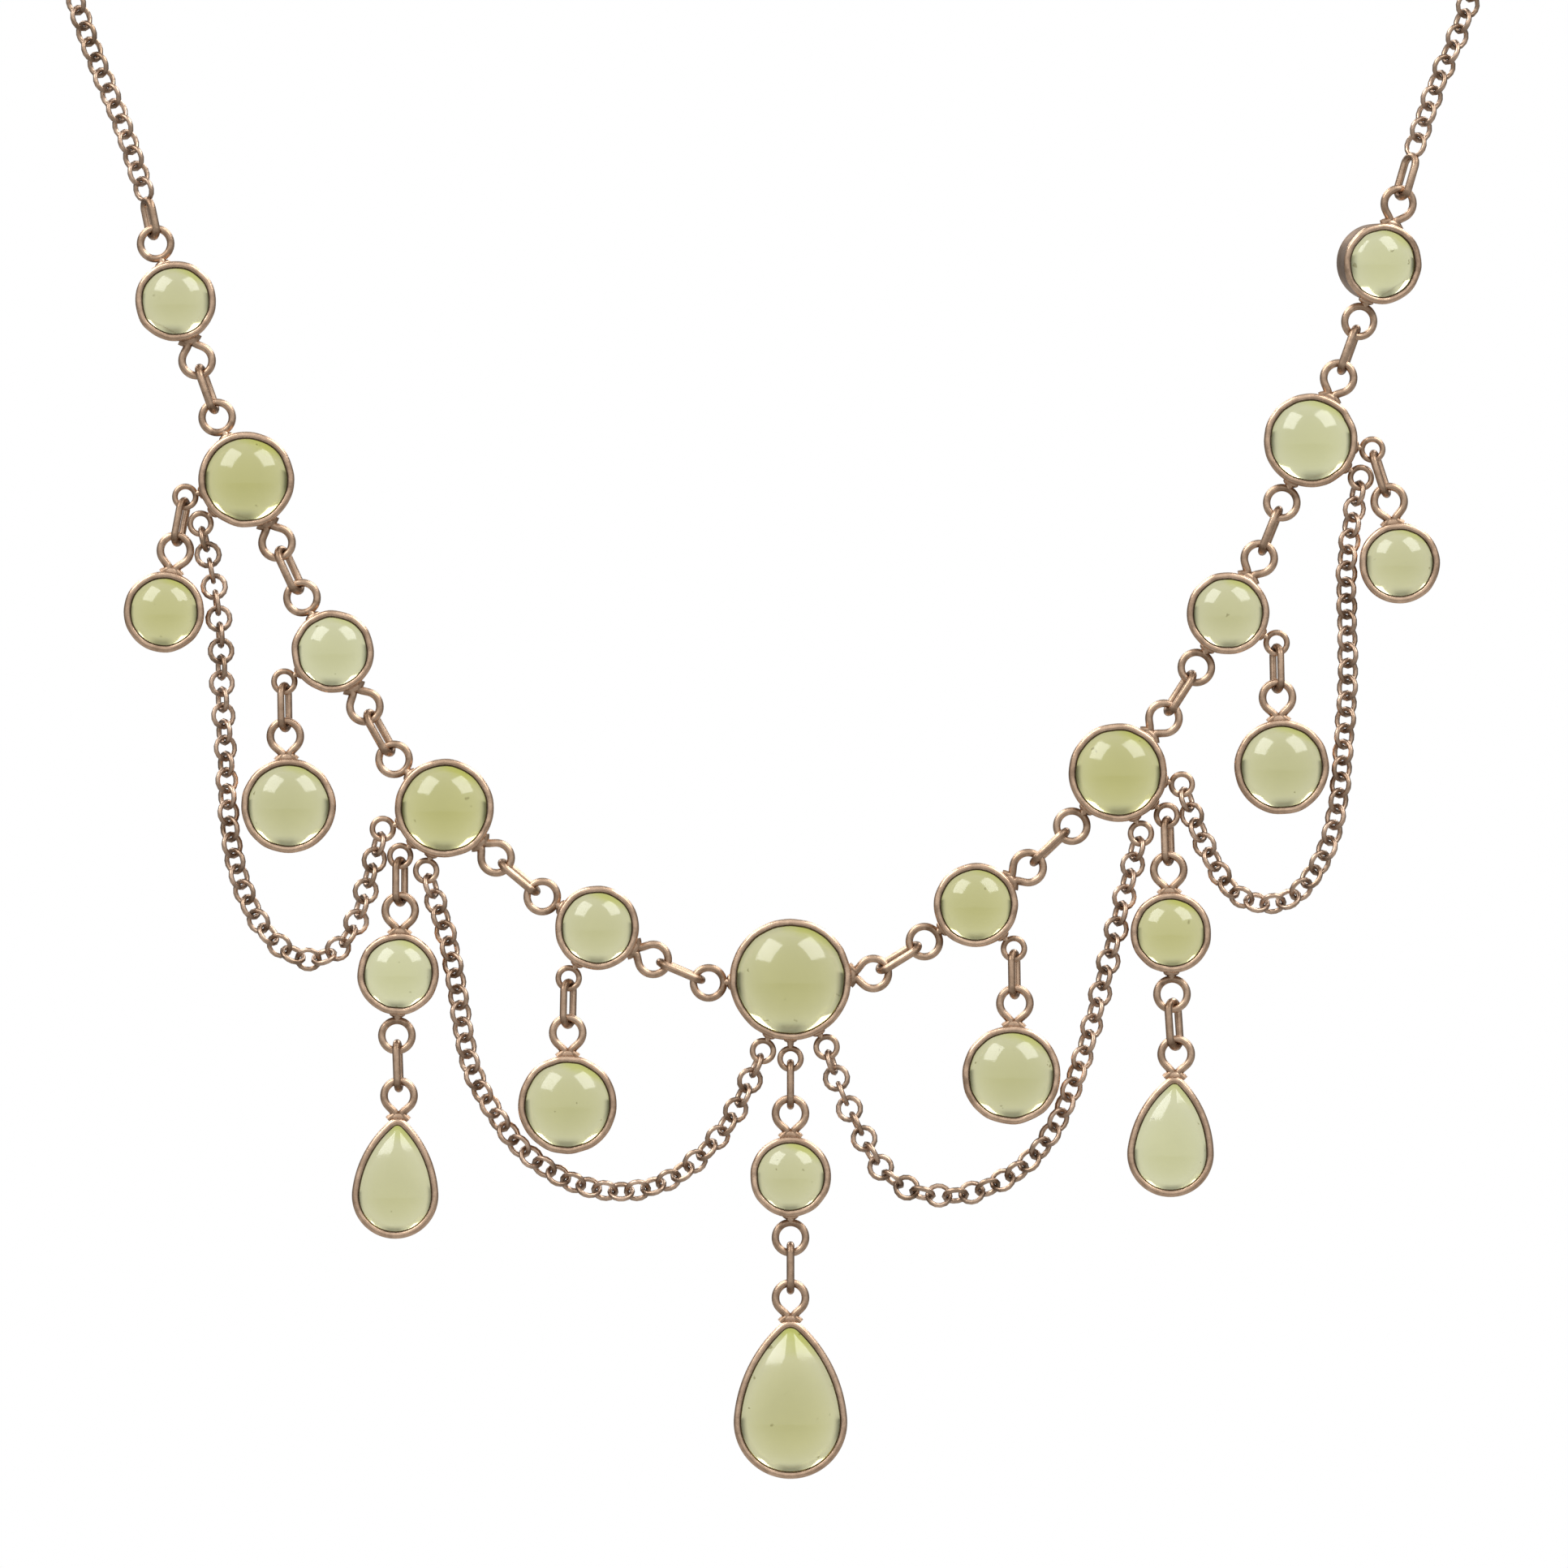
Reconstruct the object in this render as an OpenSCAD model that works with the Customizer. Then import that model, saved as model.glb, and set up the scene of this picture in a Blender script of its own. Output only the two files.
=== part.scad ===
// Festoon necklace: a row of eleven round cabochons in open collets, joined by oval links.
// Nine drops and four chain swags hang from small eyes on the row, and a cable chain goes round the neck.
// Millimetres. Z is up, X is to the wearer's left, -Y is the front.
// Left and right in the names are as seen from the front: left is -X.
// The origin is where the clasp lies on the nape of the neck.

/* [Necklace] */
// Height of the nape above the middle of the centre stone
front_drop = 97.9; // [80:0.1:130]
// Distance from the nape forward to the plane of the festoon
front_reach = 86; // [75:1:110]

/* [Settings] */
// Outer diameter of the small round settings
small_d = 6.1; // [5.6:0.1:6.4]
// Outer diameter of the medium round settings
medium_d = 7.15; // [6.6:0.05:7.4]
// Outer diameter of the centre setting
centre_d = 9; // [8:0.1:9.6]
// Half the width of the big pear setting
big_pear_r = 4.2; // [3.6:0.1:4.8]
// Half the width of the two small pear settings
small_pear_r = 3.2; // [2.8:0.1:3.6]
// Height of a collet from its front to its back
collet_h = 2.7; // [2.4:0.1:3.2]
// Width of the rounded rim, seen from the front
rim_w = 0.56; // [0.5:0.02:0.64]
// Thickness of the collet wall
wall = 0.42; // [0.34:0.02:0.46]
// How much narrower a collet is at its back, on the radius
taper = 0.15; // [0:0.05:0.25]
// Width of the ledge that the stone sits on
ledge_w = 0.4; // [0.3:0.05:0.6]
// Height of the ledge above the back of the collet
ledge_h = 0.5; // [0.3:0.05:0.7]

/* [Stones] */
// Height of a round stone's dome, as a share of its radius
dome_share = 0.54; // [0.45:0.01:0.62]
// Height of a pear stone's dome, as a share of its half width
pear_dome_share = 0.5; // [0.4:0.01:0.6]
// Gap between a stone and its setting
stone_gap = 0.04; // [0.03:0.01:0.08]

/* [Eyes] */
// Wire of a plain ring eye
ring_wire = 0.52; // [0.44:0.02:0.56]
// Radius of a ring eye, to the middle of its wire
ring_r = 1.12; // [1.08:0.02:1.24]
// Wire of a pointed loop eye
loop_wire = 0.54; // [0.46:0.02:0.56]
// Radius of a loop eye's round end, to the middle of its wire
loop_r = 1.11; // [1.09:0.02:1.23]
// Wire of a small side eye
side_wire = 0.4; // [0.34:0.02:0.44]
// Radius of a side eye, to the middle of its wire
side_r = 0.77; // [0.75:0.01:0.85]
// Distance from a rim to the middle of its ring eye
ring_reach = 1.56; // [1.5:0.02:1.8]
// Distance from a rim to the middle of its loop eye
loop_reach = 1.64; // [1.6:0.02:1.9]
// Distance from a rim to the middle of a side eye
side_reach = 1.18; // [1.12:0.02:1.3]

/* [Links] */
// Length of a jump link between two row settings
row_link_l = 3.95; // [3.8:0.05:4.6]
// Length of a jump link that holds a drop
drop_link_l = 3.75; // [3.6:0.05:4.4]
// Width of a jump link
link_width = 2.05; // [1.95:0.05:2.3]
// Wire of a row link
row_link_wire = 0.54; // [0.44:0.02:0.56]
// Wire of a drop link
drop_link_wire = 0.5; // [0.4:0.02:0.52]
// Clearance between a link and the eye that it hangs in
link_gap = 0.06; // [0.05:0.01:0.1]

/* [Chain] */
// Outer diameter of a round chain link
chain_d = 2.05; // [1.95:0.05:2.15]
// Wire of a chain link
chain_wire = 0.36; // [0.3:0.02:0.38]
// Clearance between neighbouring chain links
chain_gap = 0.1; // [0.1:0.01:0.14]
// Length of the oval link that joins the left end of the row to the neck chain
left_end_link_l = 3.3; // [3.2:0.1:4]
// Length of the oval link that joins the right end of the row to the neck chain
right_end_link_l = 3.7; // [3.5:0.1:4.2]

/* [Clasp] */
// Length of the clasp's barrel
clasp_l = 9; // [7:0.5:12]
// Diameter of the clasp's barrel
clasp_d = 4; // [3.2:0.1:5]

/* [Hidden] */
// A row setting or a drop is given by its side, 0 for the left and 1 for the right, and by its number
// from the centre.
SIDES = ["left", "right"];
ROW = [1:5];
DROP = [1:4];

GOLD = [0.78, 0.6, 0.46];
CHAIN_GOLD = [0.7, 0.53, 0.41];
PERIDOT = [0.74, 0.76, 0.5];

FINE = 64;
WIRE = 16;

// The row, from the centre outwards on each side. Angles are in degrees.
// SIZE: outer diameter. AXIS: the setting's slope. LINK: the slope of the link before it.
// TURN: how far it is turned about its slope. DROP_EYE: the place of the eye that holds a drop.
// INNER_EYE, OUTER_EYE: the places of the eyes that hold the inner and the outer swag.
SIZE = 0;
AXIS = 1;
LINK = 2;
TURN = 3;
DROP_EYE = 4;
INNER_EYE = 5;
OUTER_EYE = 6;
left_row = [
  [small_d * 1.02, 29.5, 23, 0, 240.5, undef, undef],
  [medium_d * 1.02, 44, 40, 0, 227, 253.5, 198.5],
  [small_d, 60, 61, 0, 211.5, undef, undef],
  [medium_d * 0.99, 64.5, 65.5, 0, 195.5, undef, 223.5],
  [small_d * 0.98, 70.5, 70.5, 0, undef, undef, undef]
];
right_row = [
  [small_d * 1.02, 35.5, 32, 0, 311, undef, undef],
  [medium_d * 1.02, 49.5, 43.5, 0, 319, 291, 349.5],
  [small_d, 60, 57.5, 0, 329, undef, undef],
  [medium_d * 0.97, 65.5, 68, 0, 352, undef, 324],
  [small_d * 0.98, 71.5, 70, 15, undef, undef, undef]
];
// How far each link before a row setting is turned about its length.
row_link_turns = [[-5, -12, -24, -26, -12], [17, -8, 15, -10, -12]];
centre_slopes = [-2.5, 4];
centre_drop_eye = 270;
centre_swag_eyes = [249, 298];
centre_eye_extra = 0.2;

// The side drops, below row settings 1 to 4. A lean is positive where the lower end goes to +X.
// SIZE: outer diameter. LINK_LEAN, LEAN: of the link and the setting. LINK_TURN: about the link's length.
// PEAR: the lean of the link below the drop, the lean of the small pear on it, and the link's turn.
LINK_LEAN = 1;
LEAN = 2;
LINK_TURN = 3;
PEAR = 4;
left_drops = [
  [medium_d * 1.02, -1, 0, 27, undef],
  [small_d * 0.99, 0, -1.5, 24, [2, -2, 6]],
  [medium_d * 0.98, 1, 3, 20, undef],
  [small_d * 0.98, -10.5, -10, 18, undef]
];
right_drops = [
  [medium_d * 1.02, 1, -3, 17, undef],
  [small_d * 0.98, 2, 1.5, 20, [4, -3.5, 31]],
  [medium_d * 0.98, 1, 3, -20, undef],
  [small_d * 0.98, 18, 9, 15, undef]
];

// A pear's outline, in shares of its half width.
pear_side = 2.5;
pear_tip = 0.3;
pear_shoulder = 5;
pear_steps = [14, 9, 3];
least_tip_r = 0.05;

// Chain routes keep few chosen points, and their ends follow the eyes.
// A swag's points are shares of the straight way between its two eyes: along it, and off it.
// The last row of a swag is how far its links are rolled, at its first and its last end.
ROUTE = 0;
ROLL = 1;
swag_routes = [
  // outer left, from row setting 4 to row setting 2
  [
    [[0.13, 0.042], [0.28, 0.104], [0.44, 0.192], [0.59, 0.27], [0.75, 0.355], [0.89, 0.411], [1.03, 0.433],
      [1.14, 0.415], [1.21, 0.365], [1.225, 0.285], [1.19, 0.204], [1.122, 0.127], [1.05, 0.052]],
    [10, 25]
  ],
  // inner left, from row setting 2 to the centre
  [
    [[0.067, 0.066], [0.143, 0.142], [0.224, 0.243], [0.287, 0.328], [0.36, 0.41], [0.466, 0.479],
      [0.568, 0.524], [0.69, 0.54], [0.8, 0.52], [0.89, 0.47], [0.96, 0.385], [1, 0.265], [1.01, 0.155]],
    [25, 10]
  ],
  // inner right, from the centre to row setting 2
  [
    [[-0.03, 0.105], [-0.05, 0.23], [-0.06, 0.34], [-0.03, 0.43], [0.04, 0.5], [0.13, 0.54],
      [0.25, 0.55], [0.38, 0.51], [0.53, 0.41], [0.67, 0.292], [0.8, 0.176], [0.9, 0.087]],
    [10, 25]
  ],
  // outer right, from row setting 2 to row setting 4
  [
    [[-0.072, 0.083], [-0.142, 0.184], [-0.188, 0.28], [-0.17, 0.375], [-0.1, 0.435], [0.04, 0.445],
      [0.18, 0.405], [0.32, 0.34], [0.49, 0.255], [0.64, 0.165], [0.76, 0.094], [0.89, 0.038]],
    [25, 25]
  ]
];
// The neck chain's points are shares of the width, depth and height between its front and its clasp end.
neck_routes = [
  [[1, 1, 1], [1.042, 1, 0.87], [1.1, 1, 0.72], [1.155, 1, 0.54], [1.195, 0.985, 0.36], [1.222, 0.94, 0.2],
    [1.23, 0.82, 0.1], [1.19, 0.64, 0.045], [1.07, 0.43, 0.02], [0.855, 0.24, 0.01],
    [0.56, 0.09, 0], [0.25, 0.015, 0], [0, 0, 0]],
  [[1, 1, 1], [1.042, 1, 0.87], [1.085, 1, 0.76], [1.13, 1, 0.6], [1.175, 0.985, 0.4], [1.205, 0.94, 0.21],
    [1.215, 0.82, 0.1], [1.185, 0.64, 0.045], [1.07, 0.43, 0.02], [0.855, 0.24, 0.01],
    [0.56, 0.09, 0], [0.25, 0.015, 0], [0, 0, 0]]
];
route_steps = 8;
tube_turns = [for (k = [1:2:15]) k * 22.5];
tube_ring_every = 2.5;
tube_gap = 0.25;
// A spot this close to the end of a line still lies on its last stretch.
line_end = 0.001;

// Heights in a setting, from the middle of the collet towards the front.
rim_r = rim_w / 2;
rim_z = collet_h / 2 - rim_r;
ledge_z = ledge_h - collet_h / 2;
eye_z = 0.1;

// Distances between eyes, and from an eye to what hangs in it.
function hold(eye_r, eye_wire, link_wire) = eye_r - (eye_wire + link_wire) / 2 - link_gap;
row_span = row_link_l - row_link_wire + hold(ring_r, ring_wire, row_link_wire)
  + hold(loop_r, loop_wire, row_link_wire);
drop_span = drop_link_l - drop_link_wire + hold(side_r, side_wire, drop_link_wire)
  + hold(loop_r, loop_wire, drop_link_wire);
pear_span = row_link_l - row_link_wire + hold(ring_r, ring_wire, row_link_wire)
  + hold(loop_r, loop_wire, row_link_wire);

function dir(a) = [cos(a), sin(a)];
function deg(v) = atan2(v.y, v.x);
function lerp(a, b, t) = a + (b - a) * t;

// Places in the plane of the festoon, as [x, z].
centre_at = [0, -front_drop];
function side_sign(s) = s == 0 ? -1 : 1;
function outward(s, slope) = [side_sign(s) * cos(slope), sin(slope)];
function row_of(s) = s == 0 ? left_row : right_row;
function drops_of(s) = s == 0 ? left_drops : right_drops;
// On the left the outer eye is a ring and the inner one a loop, and on the right they change places.
function outer_reach(s) = s == 0 ? ring_reach : loop_reach;
function inner_reach(s) = s == 0 ? loop_reach : ring_reach;
function row_size(s, i) = row_of(s)[i - 1][SIZE];
function row_outer_eye(s, i) = i < 1
  ? centre_at + outward(s, centre_slopes[s]) * (centre_d / 2 + outer_reach(s))
  : row_at(s, i) + outward(s, row_of(s)[i - 1][AXIS]) * (row_size(s, i) / 2 + outer_reach(s));
function row_inner_eye(s, i) = row_outer_eye(s, i - 1) + outward(s, row_of(s)[i - 1][LINK]) * row_span;
function row_at(s, i) = row_inner_eye(s, i)
  + outward(s, row_of(s)[i - 1][AXIS]) * (row_size(s, i) / 2 + inner_reach(s));
function side_eye(at, size, angle, extra = 0) = at + dir(angle) * (size / 2 + side_reach + extra);
function row_eye(s, i, column) = side_eye(row_at(s, i), row_size(s, i), row_of(s)[i - 1][column]);
centre_eye = side_eye(centre_at, centre_d, centre_drop_eye, centre_eye_extra);

function down(lean) = [sin(lean), -cos(lean)];
function drop_loop(s, i) = row_eye(s, i, DROP_EYE) + down(drops_of(s)[i - 1][LINK_LEAN]) * drop_span;
function drop_at(s, i) = drop_loop(s, i)
  + down(drops_of(s)[i - 1][LEAN]) * (loop_reach + drops_of(s)[i - 1][SIZE] / 2);
function drop_ring(s, i) = drop_at(s, i)
  + down(drops_of(s)[i - 1][LEAN]) * (ring_reach + drops_of(s)[i - 1][SIZE] / 2);
// The drop on each side that carries a small pear, and how the pear hangs from it.
function pear_drop(s) = [for (i = DROP) if (!is_undef(drops_of(s)[i - 1][PEAR])) i][0];
function pear_hang(s) = drops_of(s)[pear_drop(s) - 1][PEAR];
function pear_loop(s) = drop_ring(s, pear_drop(s)) + down(pear_hang(s)[0]) * pear_span;
function pear_at(s) = pear_loop(s) + down(pear_hang(s)[1]) * (loop_reach + pear_top(small_pear_r));
centre_drop_d = small_d * 0.98;
centre_drop_loop = centre_eye + down(0) * drop_span;
centre_drop_at = centre_drop_loop + down(0) * (loop_reach + centre_drop_d / 2);
centre_drop_ring = centre_drop_at + down(0) * (ring_reach + centre_drop_d / 2);
centre_pear_loop = centre_drop_ring + down(0) * pear_span;
centre_pear_at = centre_pear_loop + down(0) * (loop_reach + pear_top(big_pear_r));

// Places a shape that is modelled face up, in x and y, into the plane of the festoon.
module face_front(at) {
  translate([at.x, -front_reach, at.y])
    rotate([90, 0, 0])
      translate([0, 0, -eye_z])
        children();
}

module ring(r, wire) {
  rotate_extrude($fn = FINE)
    translate([r, 0])
      circle(d = wire, $fn = WIRE);
}

// A round collet: tapered wall, rounded rim that overhangs the stone, and an inner ledge.
module collet(d) {
  r = d / 2;
  rotate_extrude($fn = FINE) {
    polygon([
      [r, rim_z], [r - taper, -collet_h / 2], [r - wall - ledge_w, -collet_h / 2],
      [r - wall - ledge_w, ledge_z], [r - wall, ledge_z], [r - wall, rim_z]
    ]);
    translate([r - rim_r, rim_z])
      circle(r = rim_r, $fn = WIRE);
  }
}

// Height of the middle of a dome whose surface just clears the rim's lip.
function dome_r(r, share) = r * (1 + share * share) / (2 * share);
function dome_z(edge, r, share) = rim_z
  - sqrt(pow(dome_r(r, share) + rim_r + stone_gap, 2) - pow(edge - rim_r, 2));

module cabochon(d) {
  r = d / 2 - wall - stone_gap;
  seat = ledge_z + stone_gap;
  intersection() {
    translate([0, 0, dome_z(d / 2, r, dome_share)])
      sphere(r = dome_r(r, dome_share), $fn = 2 * FINE);
    translate([0, 0, seat])
      cylinder(r = r, h = collet_h * 2, $fn = FINE);
  }
}

// The thickness of a solder neck, as a share of its eye's wire.
solder = 0.9;

// A plain ring eye with its solder, at a distance from the middle of its setting.
module ring_eye(angle, edge) {
  rotate([0, 0, angle]) {
    translate([edge + ring_reach, 0, eye_z])
      ring(ring_r, ring_wire);
    translate([edge - wall / 2, 0, eye_z])
      rotate([0, 90, 0])
        cylinder(d = ring_wire * solder, h = ring_reach + wall / 2 - ring_r, $fn = WIRE);
  }
}

// A small side eye with its solder.
module side_eye_at(angle, edge, extra = 0) {
  rotate([0, 0, angle]) {
    translate([edge + side_reach + extra, 0, eye_z])
      ring(side_r, side_wire);
    translate([edge - wall / 2, 0, eye_z])
      rotate([0, 90, 0])
        cylinder(d = side_wire * solder, h = side_reach + extra + wall / 2 - side_r, $fn = WIRE);
  }
}

// A pointed loop eye: a round end whose two sides run together at the rim.
// Its sides stand this far off its middle where they meet the rim. They are drawn a little thinner
// than the round end, and run into it by the length of a joint.
loop_foot = 0.32;
draw = 0.95;
joint = 0.05;
module loop_eye(angle, edge) {
  back = loop_reach + wall / 2;
  away = norm([back, loop_foot]);
  side = sqrt(away * away - loop_r * loop_r);
  spread = acos(loop_r / away) + atan2(loop_foot, back);
  rotate([0, 0, angle])
    translate([edge + loop_reach, 0, eye_z]) {
      rotate([0, 0, spread - 180])
        rotate_extrude(angle = 360 - 2 * spread, $fn = FINE)
          translate([loop_r, 0])
            circle(d = loop_wire, $fn = WIRE);
      for (m = [-1, 1])
        translate([-loop_r * cos(spread), m * loop_r * sin(spread), 0])
          rotate([0, 0, 180 + m * (90 - spread)])
            translate([-joint, 0, 0])
              rotate([0, 90, 0])
                cylinder(d = loop_wire * draw, h = side + joint, $fn = WIRE);
    }
}

// A round setting: its collet, its loop eye, and a ring eye and side eyes where it has them.
// The angles are those of the eyes, seen from the front.
module round_setting(at, d, loop, ringed, side_eyes, turn = 0) {
  color(GOLD)
    face_front(at)
      translate([0, 0, eye_z])
        rotate([0, 0, loop])
          rotate([turn, 0, 0])
            rotate([0, 0, -loop])
              translate([0, 0, -eye_z]) {
                collet(d);
                loop_eye(loop, d / 2);
                if (!is_undef(ringed))
                  ring_eye(ringed, d / 2);
                for (a = side_eyes)
                  if (!is_undef(a))
                    side_eye_at(a, d / 2);
              }
}

module round_stone(at, d, loop = 0, turn = 0) {
  color(PERIDOT)
    face_front(at)
      translate([0, 0, eye_z])
        rotate([0, 0, loop])
          rotate([turn, 0, 0])
            translate([0, 0, -eye_z])
              cabochon(d);
}

// The row settings' loop eyes point to the right and their ring eyes to the left.
function loop_angle(s, i) = side_sign(s) * row_of(s)[i - 1][AXIS];

module row_setting(s, i) {
  row = row_of(s)[i - 1];
  round_setting(row_at(s, i), row[SIZE], loop_angle(s, i), loop_angle(s, i) + 180,
    [row[DROP_EYE], row[INNER_EYE], row[OUTER_EYE]], row[TURN]);
}

module row_stone(s, i) {
  round_stone(row_at(s, i), row_size(s, i), loop_angle(s, i), row_of(s)[i - 1][TURN]);
}

module setting_centre() {
  color(GOLD)
    face_front(centre_at) {
      collet(centre_d);
      loop_eye(centre_slopes[1], centre_d / 2);
      ring_eye(180 - centre_slopes[0], centre_d / 2);
      for (a = centre_swag_eyes)
        side_eye_at(a, centre_d / 2);
      side_eye_at(centre_drop_eye, centre_d / 2, centre_eye_extra);
    }
}

module drop_setting(s, i) {
  up = 90 + drops_of(s)[i - 1][LEAN];
  round_setting(drop_at(s, i), drops_of(s)[i - 1][SIZE], up, i == pear_drop(s) ? up + 180 : undef, []);
}

module drop_stone(s, i) {
  round_stone(drop_at(s, i), drops_of(s)[i - 1][SIZE]);
}

module drop_setting_centre() {
  round_setting(centre_drop_at, centre_drop_d, 90, 270, []);
}

// A pear's outline inset by a distance: the bottom arc, the long side arcs and the small arc of the tip.
function tip_r(r, inset) = max(r * pear_tip - inset, least_tip_r);
function side_arc_r(r) = r * pear_side;
function tip_turn(r, inset) = acos(
  (side_arc_r(r) - r) * cos(pear_shoulder) / (side_arc_r(r) - inset - tip_r(r, inset))
);
function side_centre(r) = dir(pear_shoulder) * (r - side_arc_r(r));
function tip_centre(r, inset) = side_centre(r).y
  + (side_arc_r(r) - inset - tip_r(r, inset)) * sin(tip_turn(r, inset));
function pear_top(r) = tip_centre(r, 0) + tip_r(r, 0);
function pear_half(r, inset) = concat(
  [for (k = [0:pear_steps[0] - 1]) dir(-90 + (90 + pear_shoulder) * k / pear_steps[0]) * (r - inset)],
  [for (k = [0:pear_steps[1] - 1])
    let (a = lerp(pear_shoulder, tip_turn(r, inset), k / pear_steps[1]))
      side_centre(r) + dir(a) * (side_arc_r(r) - inset)],
  [for (k = [0:pear_steps[2]])
    [0, tip_centre(r, inset)] + dir(lerp(tip_turn(r, inset), 90, k / pear_steps[2])) * tip_r(r, inset)]
);
function pear_ring(r, inset) = let (h = pear_half(r, inset), n = len(h))
  concat(h, [for (k = [n - 2:-1:1]) [-h[k].x, h[k].y]]);

// Joins rings of equal length into a skin. A closed skin runs on from the last ring to the first.
function skin_faces(rings, n, closed) = [
  for (j = [0:rings - (closed ? 1 : 2)], k = [0:n - 1])
    let (a = j * n + k, b = j * n + (k + 1) % n, up = ((j + 1) % rings) * n)
      each [[a, up + k, b], [b, up + k, up + (k + 1) % n]]
];

// The wall of a pear collet: the same section as the round one, as insets and heights.
// The rim's inner side runs down to the wall in two short steps.
rim_steps = 8;
lip = [rim_w * 0.93, rim_z - rim_r * 0.5];
lip_foot_z = rim_z - rim_r * 0.8;
function rim_point(k) = [rim_r, rim_z] - rim_r * [cos(180 * k / rim_steps), -sin(180 * k / rim_steps)];
pear_section = concat(
  [for (k = [0:rim_steps]) rim_point(k)],
  [lip, [wall, lip_foot_z], [wall, ledge_z], [wall + ledge_w, ledge_z],
    [wall + ledge_w, -collet_h / 2], [taper, -collet_h / 2]]
);

module pear_collet(r) {
  rings = [for (p = pear_section) [for (q = pear_ring(r, p.x)) [q.x, q.y, p.y]]];
  n = len(rings[0]);
  polyhedron(
    points = [for (loop = rings) each loop],
    faces = skin_faces(len(rings), n, true),
    convexity = 6
  );
}

// A pear stone: a straight girdle and a dome of rings that shrink towards its highest point.
pear_dome_rings = 6;
module pear_cabochon(r) {
  inset = wall + stone_gap;
  a = r - inset;
  big = dome_r(a, pear_dome_share);
  mid = dome_z(r, a, pear_dome_share);
  girdle = pear_ring(r, inset);
  n = len(girdle);
  seat = ledge_z + stone_gap;
  levels = [for (k = [0:pear_dome_rings - 1]) cos(90 * k / pear_dome_rings)];
  rings = concat(
    [[for (q = girdle) [q.x, q.y, seat]]],
    [for (t = levels) [for (q = girdle) [q.x * t, q.y * t, mid + sqrt(big * big - a * a * t * t)]]]
  );
  count = len(rings);
  polyhedron(
    points = concat([for (loop = rings) each loop], [[0, 0, mid + big], [0, 0, seat]]),
    faces = concat(
      skin_faces(count, n, false),
      [for (k = [0:n - 1]) [(count - 1) * n + k, count * n, (count - 1) * n + (k + 1) % n]],
      [for (k = [0:n - 1]) [k, (k + 1) % n, count * n + 1]]
    ),
    convexity = 4
  );
}

module pear_setting(at, r, lean) {
  color(GOLD)
    face_front(at)
      rotate([0, 0, lean]) {
        pear_collet(r);
        loop_eye(90, pear_top(r));
      }
}

module pear_stone(at, r, lean) {
  color(PERIDOT)
    face_front(at)
      rotate([0, 0, lean])
        pear_cabochon(r);
}

module side_pear_setting(s) {
  pear_setting(pear_at(s), small_pear_r, pear_hang(s)[1]);
}

module side_pear_stone(s) {
  pear_stone(pear_at(s), small_pear_r, pear_hang(s)[1]);
}

// An oval link along X, flat in X and Y.
module oval_link(l, w, wire) {
  bend = (w - wire) / 2;
  straight = l - w;
  for (m = [-1, 1]) {
    translate([m * straight / 2, 0, 0])
      rotate([0, 0, -90 * m])
        rotate_extrude(angle = 180, $fn = FINE)
          translate([bend, 0])
            circle(d = wire, $fn = WIRE);
    translate([-straight / 2, m * bend, 0])
      rotate([0, 90, 0])
        cylinder(d = wire, h = straight, $fn = WIRE);
  }
}

// Hangs a link between two eyes: its plane holds the depth direction, turned about its own length.
// The link's first end lies in the eye at a, at the distance given from its middle.
module link_between(a, b, l, wire, in_a, turn = 0) {
  along = (b - a) / norm(b - a);
  mid = a + along * (in_a + (l - wire) / 2);
  translate([mid.x, -front_reach, mid.y])
    rotate([0, -deg(along), 0])
      rotate([turn, 0, 0])
        oval_link(l, link_width, wire);
}

module row_link(s, i) {
  in_a = s == 0 ? hold(ring_r, ring_wire, row_link_wire) : hold(loop_r, loop_wire, row_link_wire);
  link_between(row_outer_eye(s, i - 1), row_inner_eye(s, i), row_link_l, row_link_wire, in_a,
    row_link_turns[s][i - 1]);
}

module row_links() {
  color(GOLD)
    for (s = [0, 1], i = ROW)
      row_link(s, i);
}

in_side_eye = hold(side_r, side_wire, drop_link_wire);
in_ring_eye = hold(ring_r, ring_wire, row_link_wire);

module drop_links() {
  color(GOLD)
    for (s = [0, 1]) {
      for (i = DROP)
        link_between(row_eye(s, i, DROP_EYE), drop_loop(s, i), drop_link_l, drop_link_wire,
          in_side_eye, drops_of(s)[i - 1][LINK_TURN]);
      link_between(drop_ring(s, pear_drop(s)), pear_loop(s), row_link_l, row_link_wire,
        in_ring_eye, pear_hang(s)[2]);
    }
}

module drop_link_centre() {
  color(GOLD)
    link_between(centre_eye, centre_drop_loop, drop_link_l, drop_link_wire, in_side_eye);
}

module pear_link_centre() {
  color(GOLD)
    link_between(centre_drop_ring, centre_pear_loop, row_link_l, row_link_wire, in_ring_eye);
}

// The links that join the row to the neck chain.
end_slopes = [78, 74];
end_link_lengths = [left_end_link_l, right_end_link_l];
end_turns = [25, 30];
function end_hold(s) = s == 0
  ? hold(ring_r, ring_wire, row_link_wire)
  : hold(loop_r, loop_wire, row_link_wire);
function end_link_far(s) = row_outer_eye(s, 5)
  + outward(s, end_slopes[s]) * (end_hold(s) + end_link_lengths[s] - row_link_wire);

module end_links() {
  color(GOLD)
    for (s = [0, 1])
      link_between(row_outer_eye(s, 5), end_link_far(s), end_link_lengths[s], row_link_wire,
        end_hold(s), end_turns[s]);
}

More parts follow.
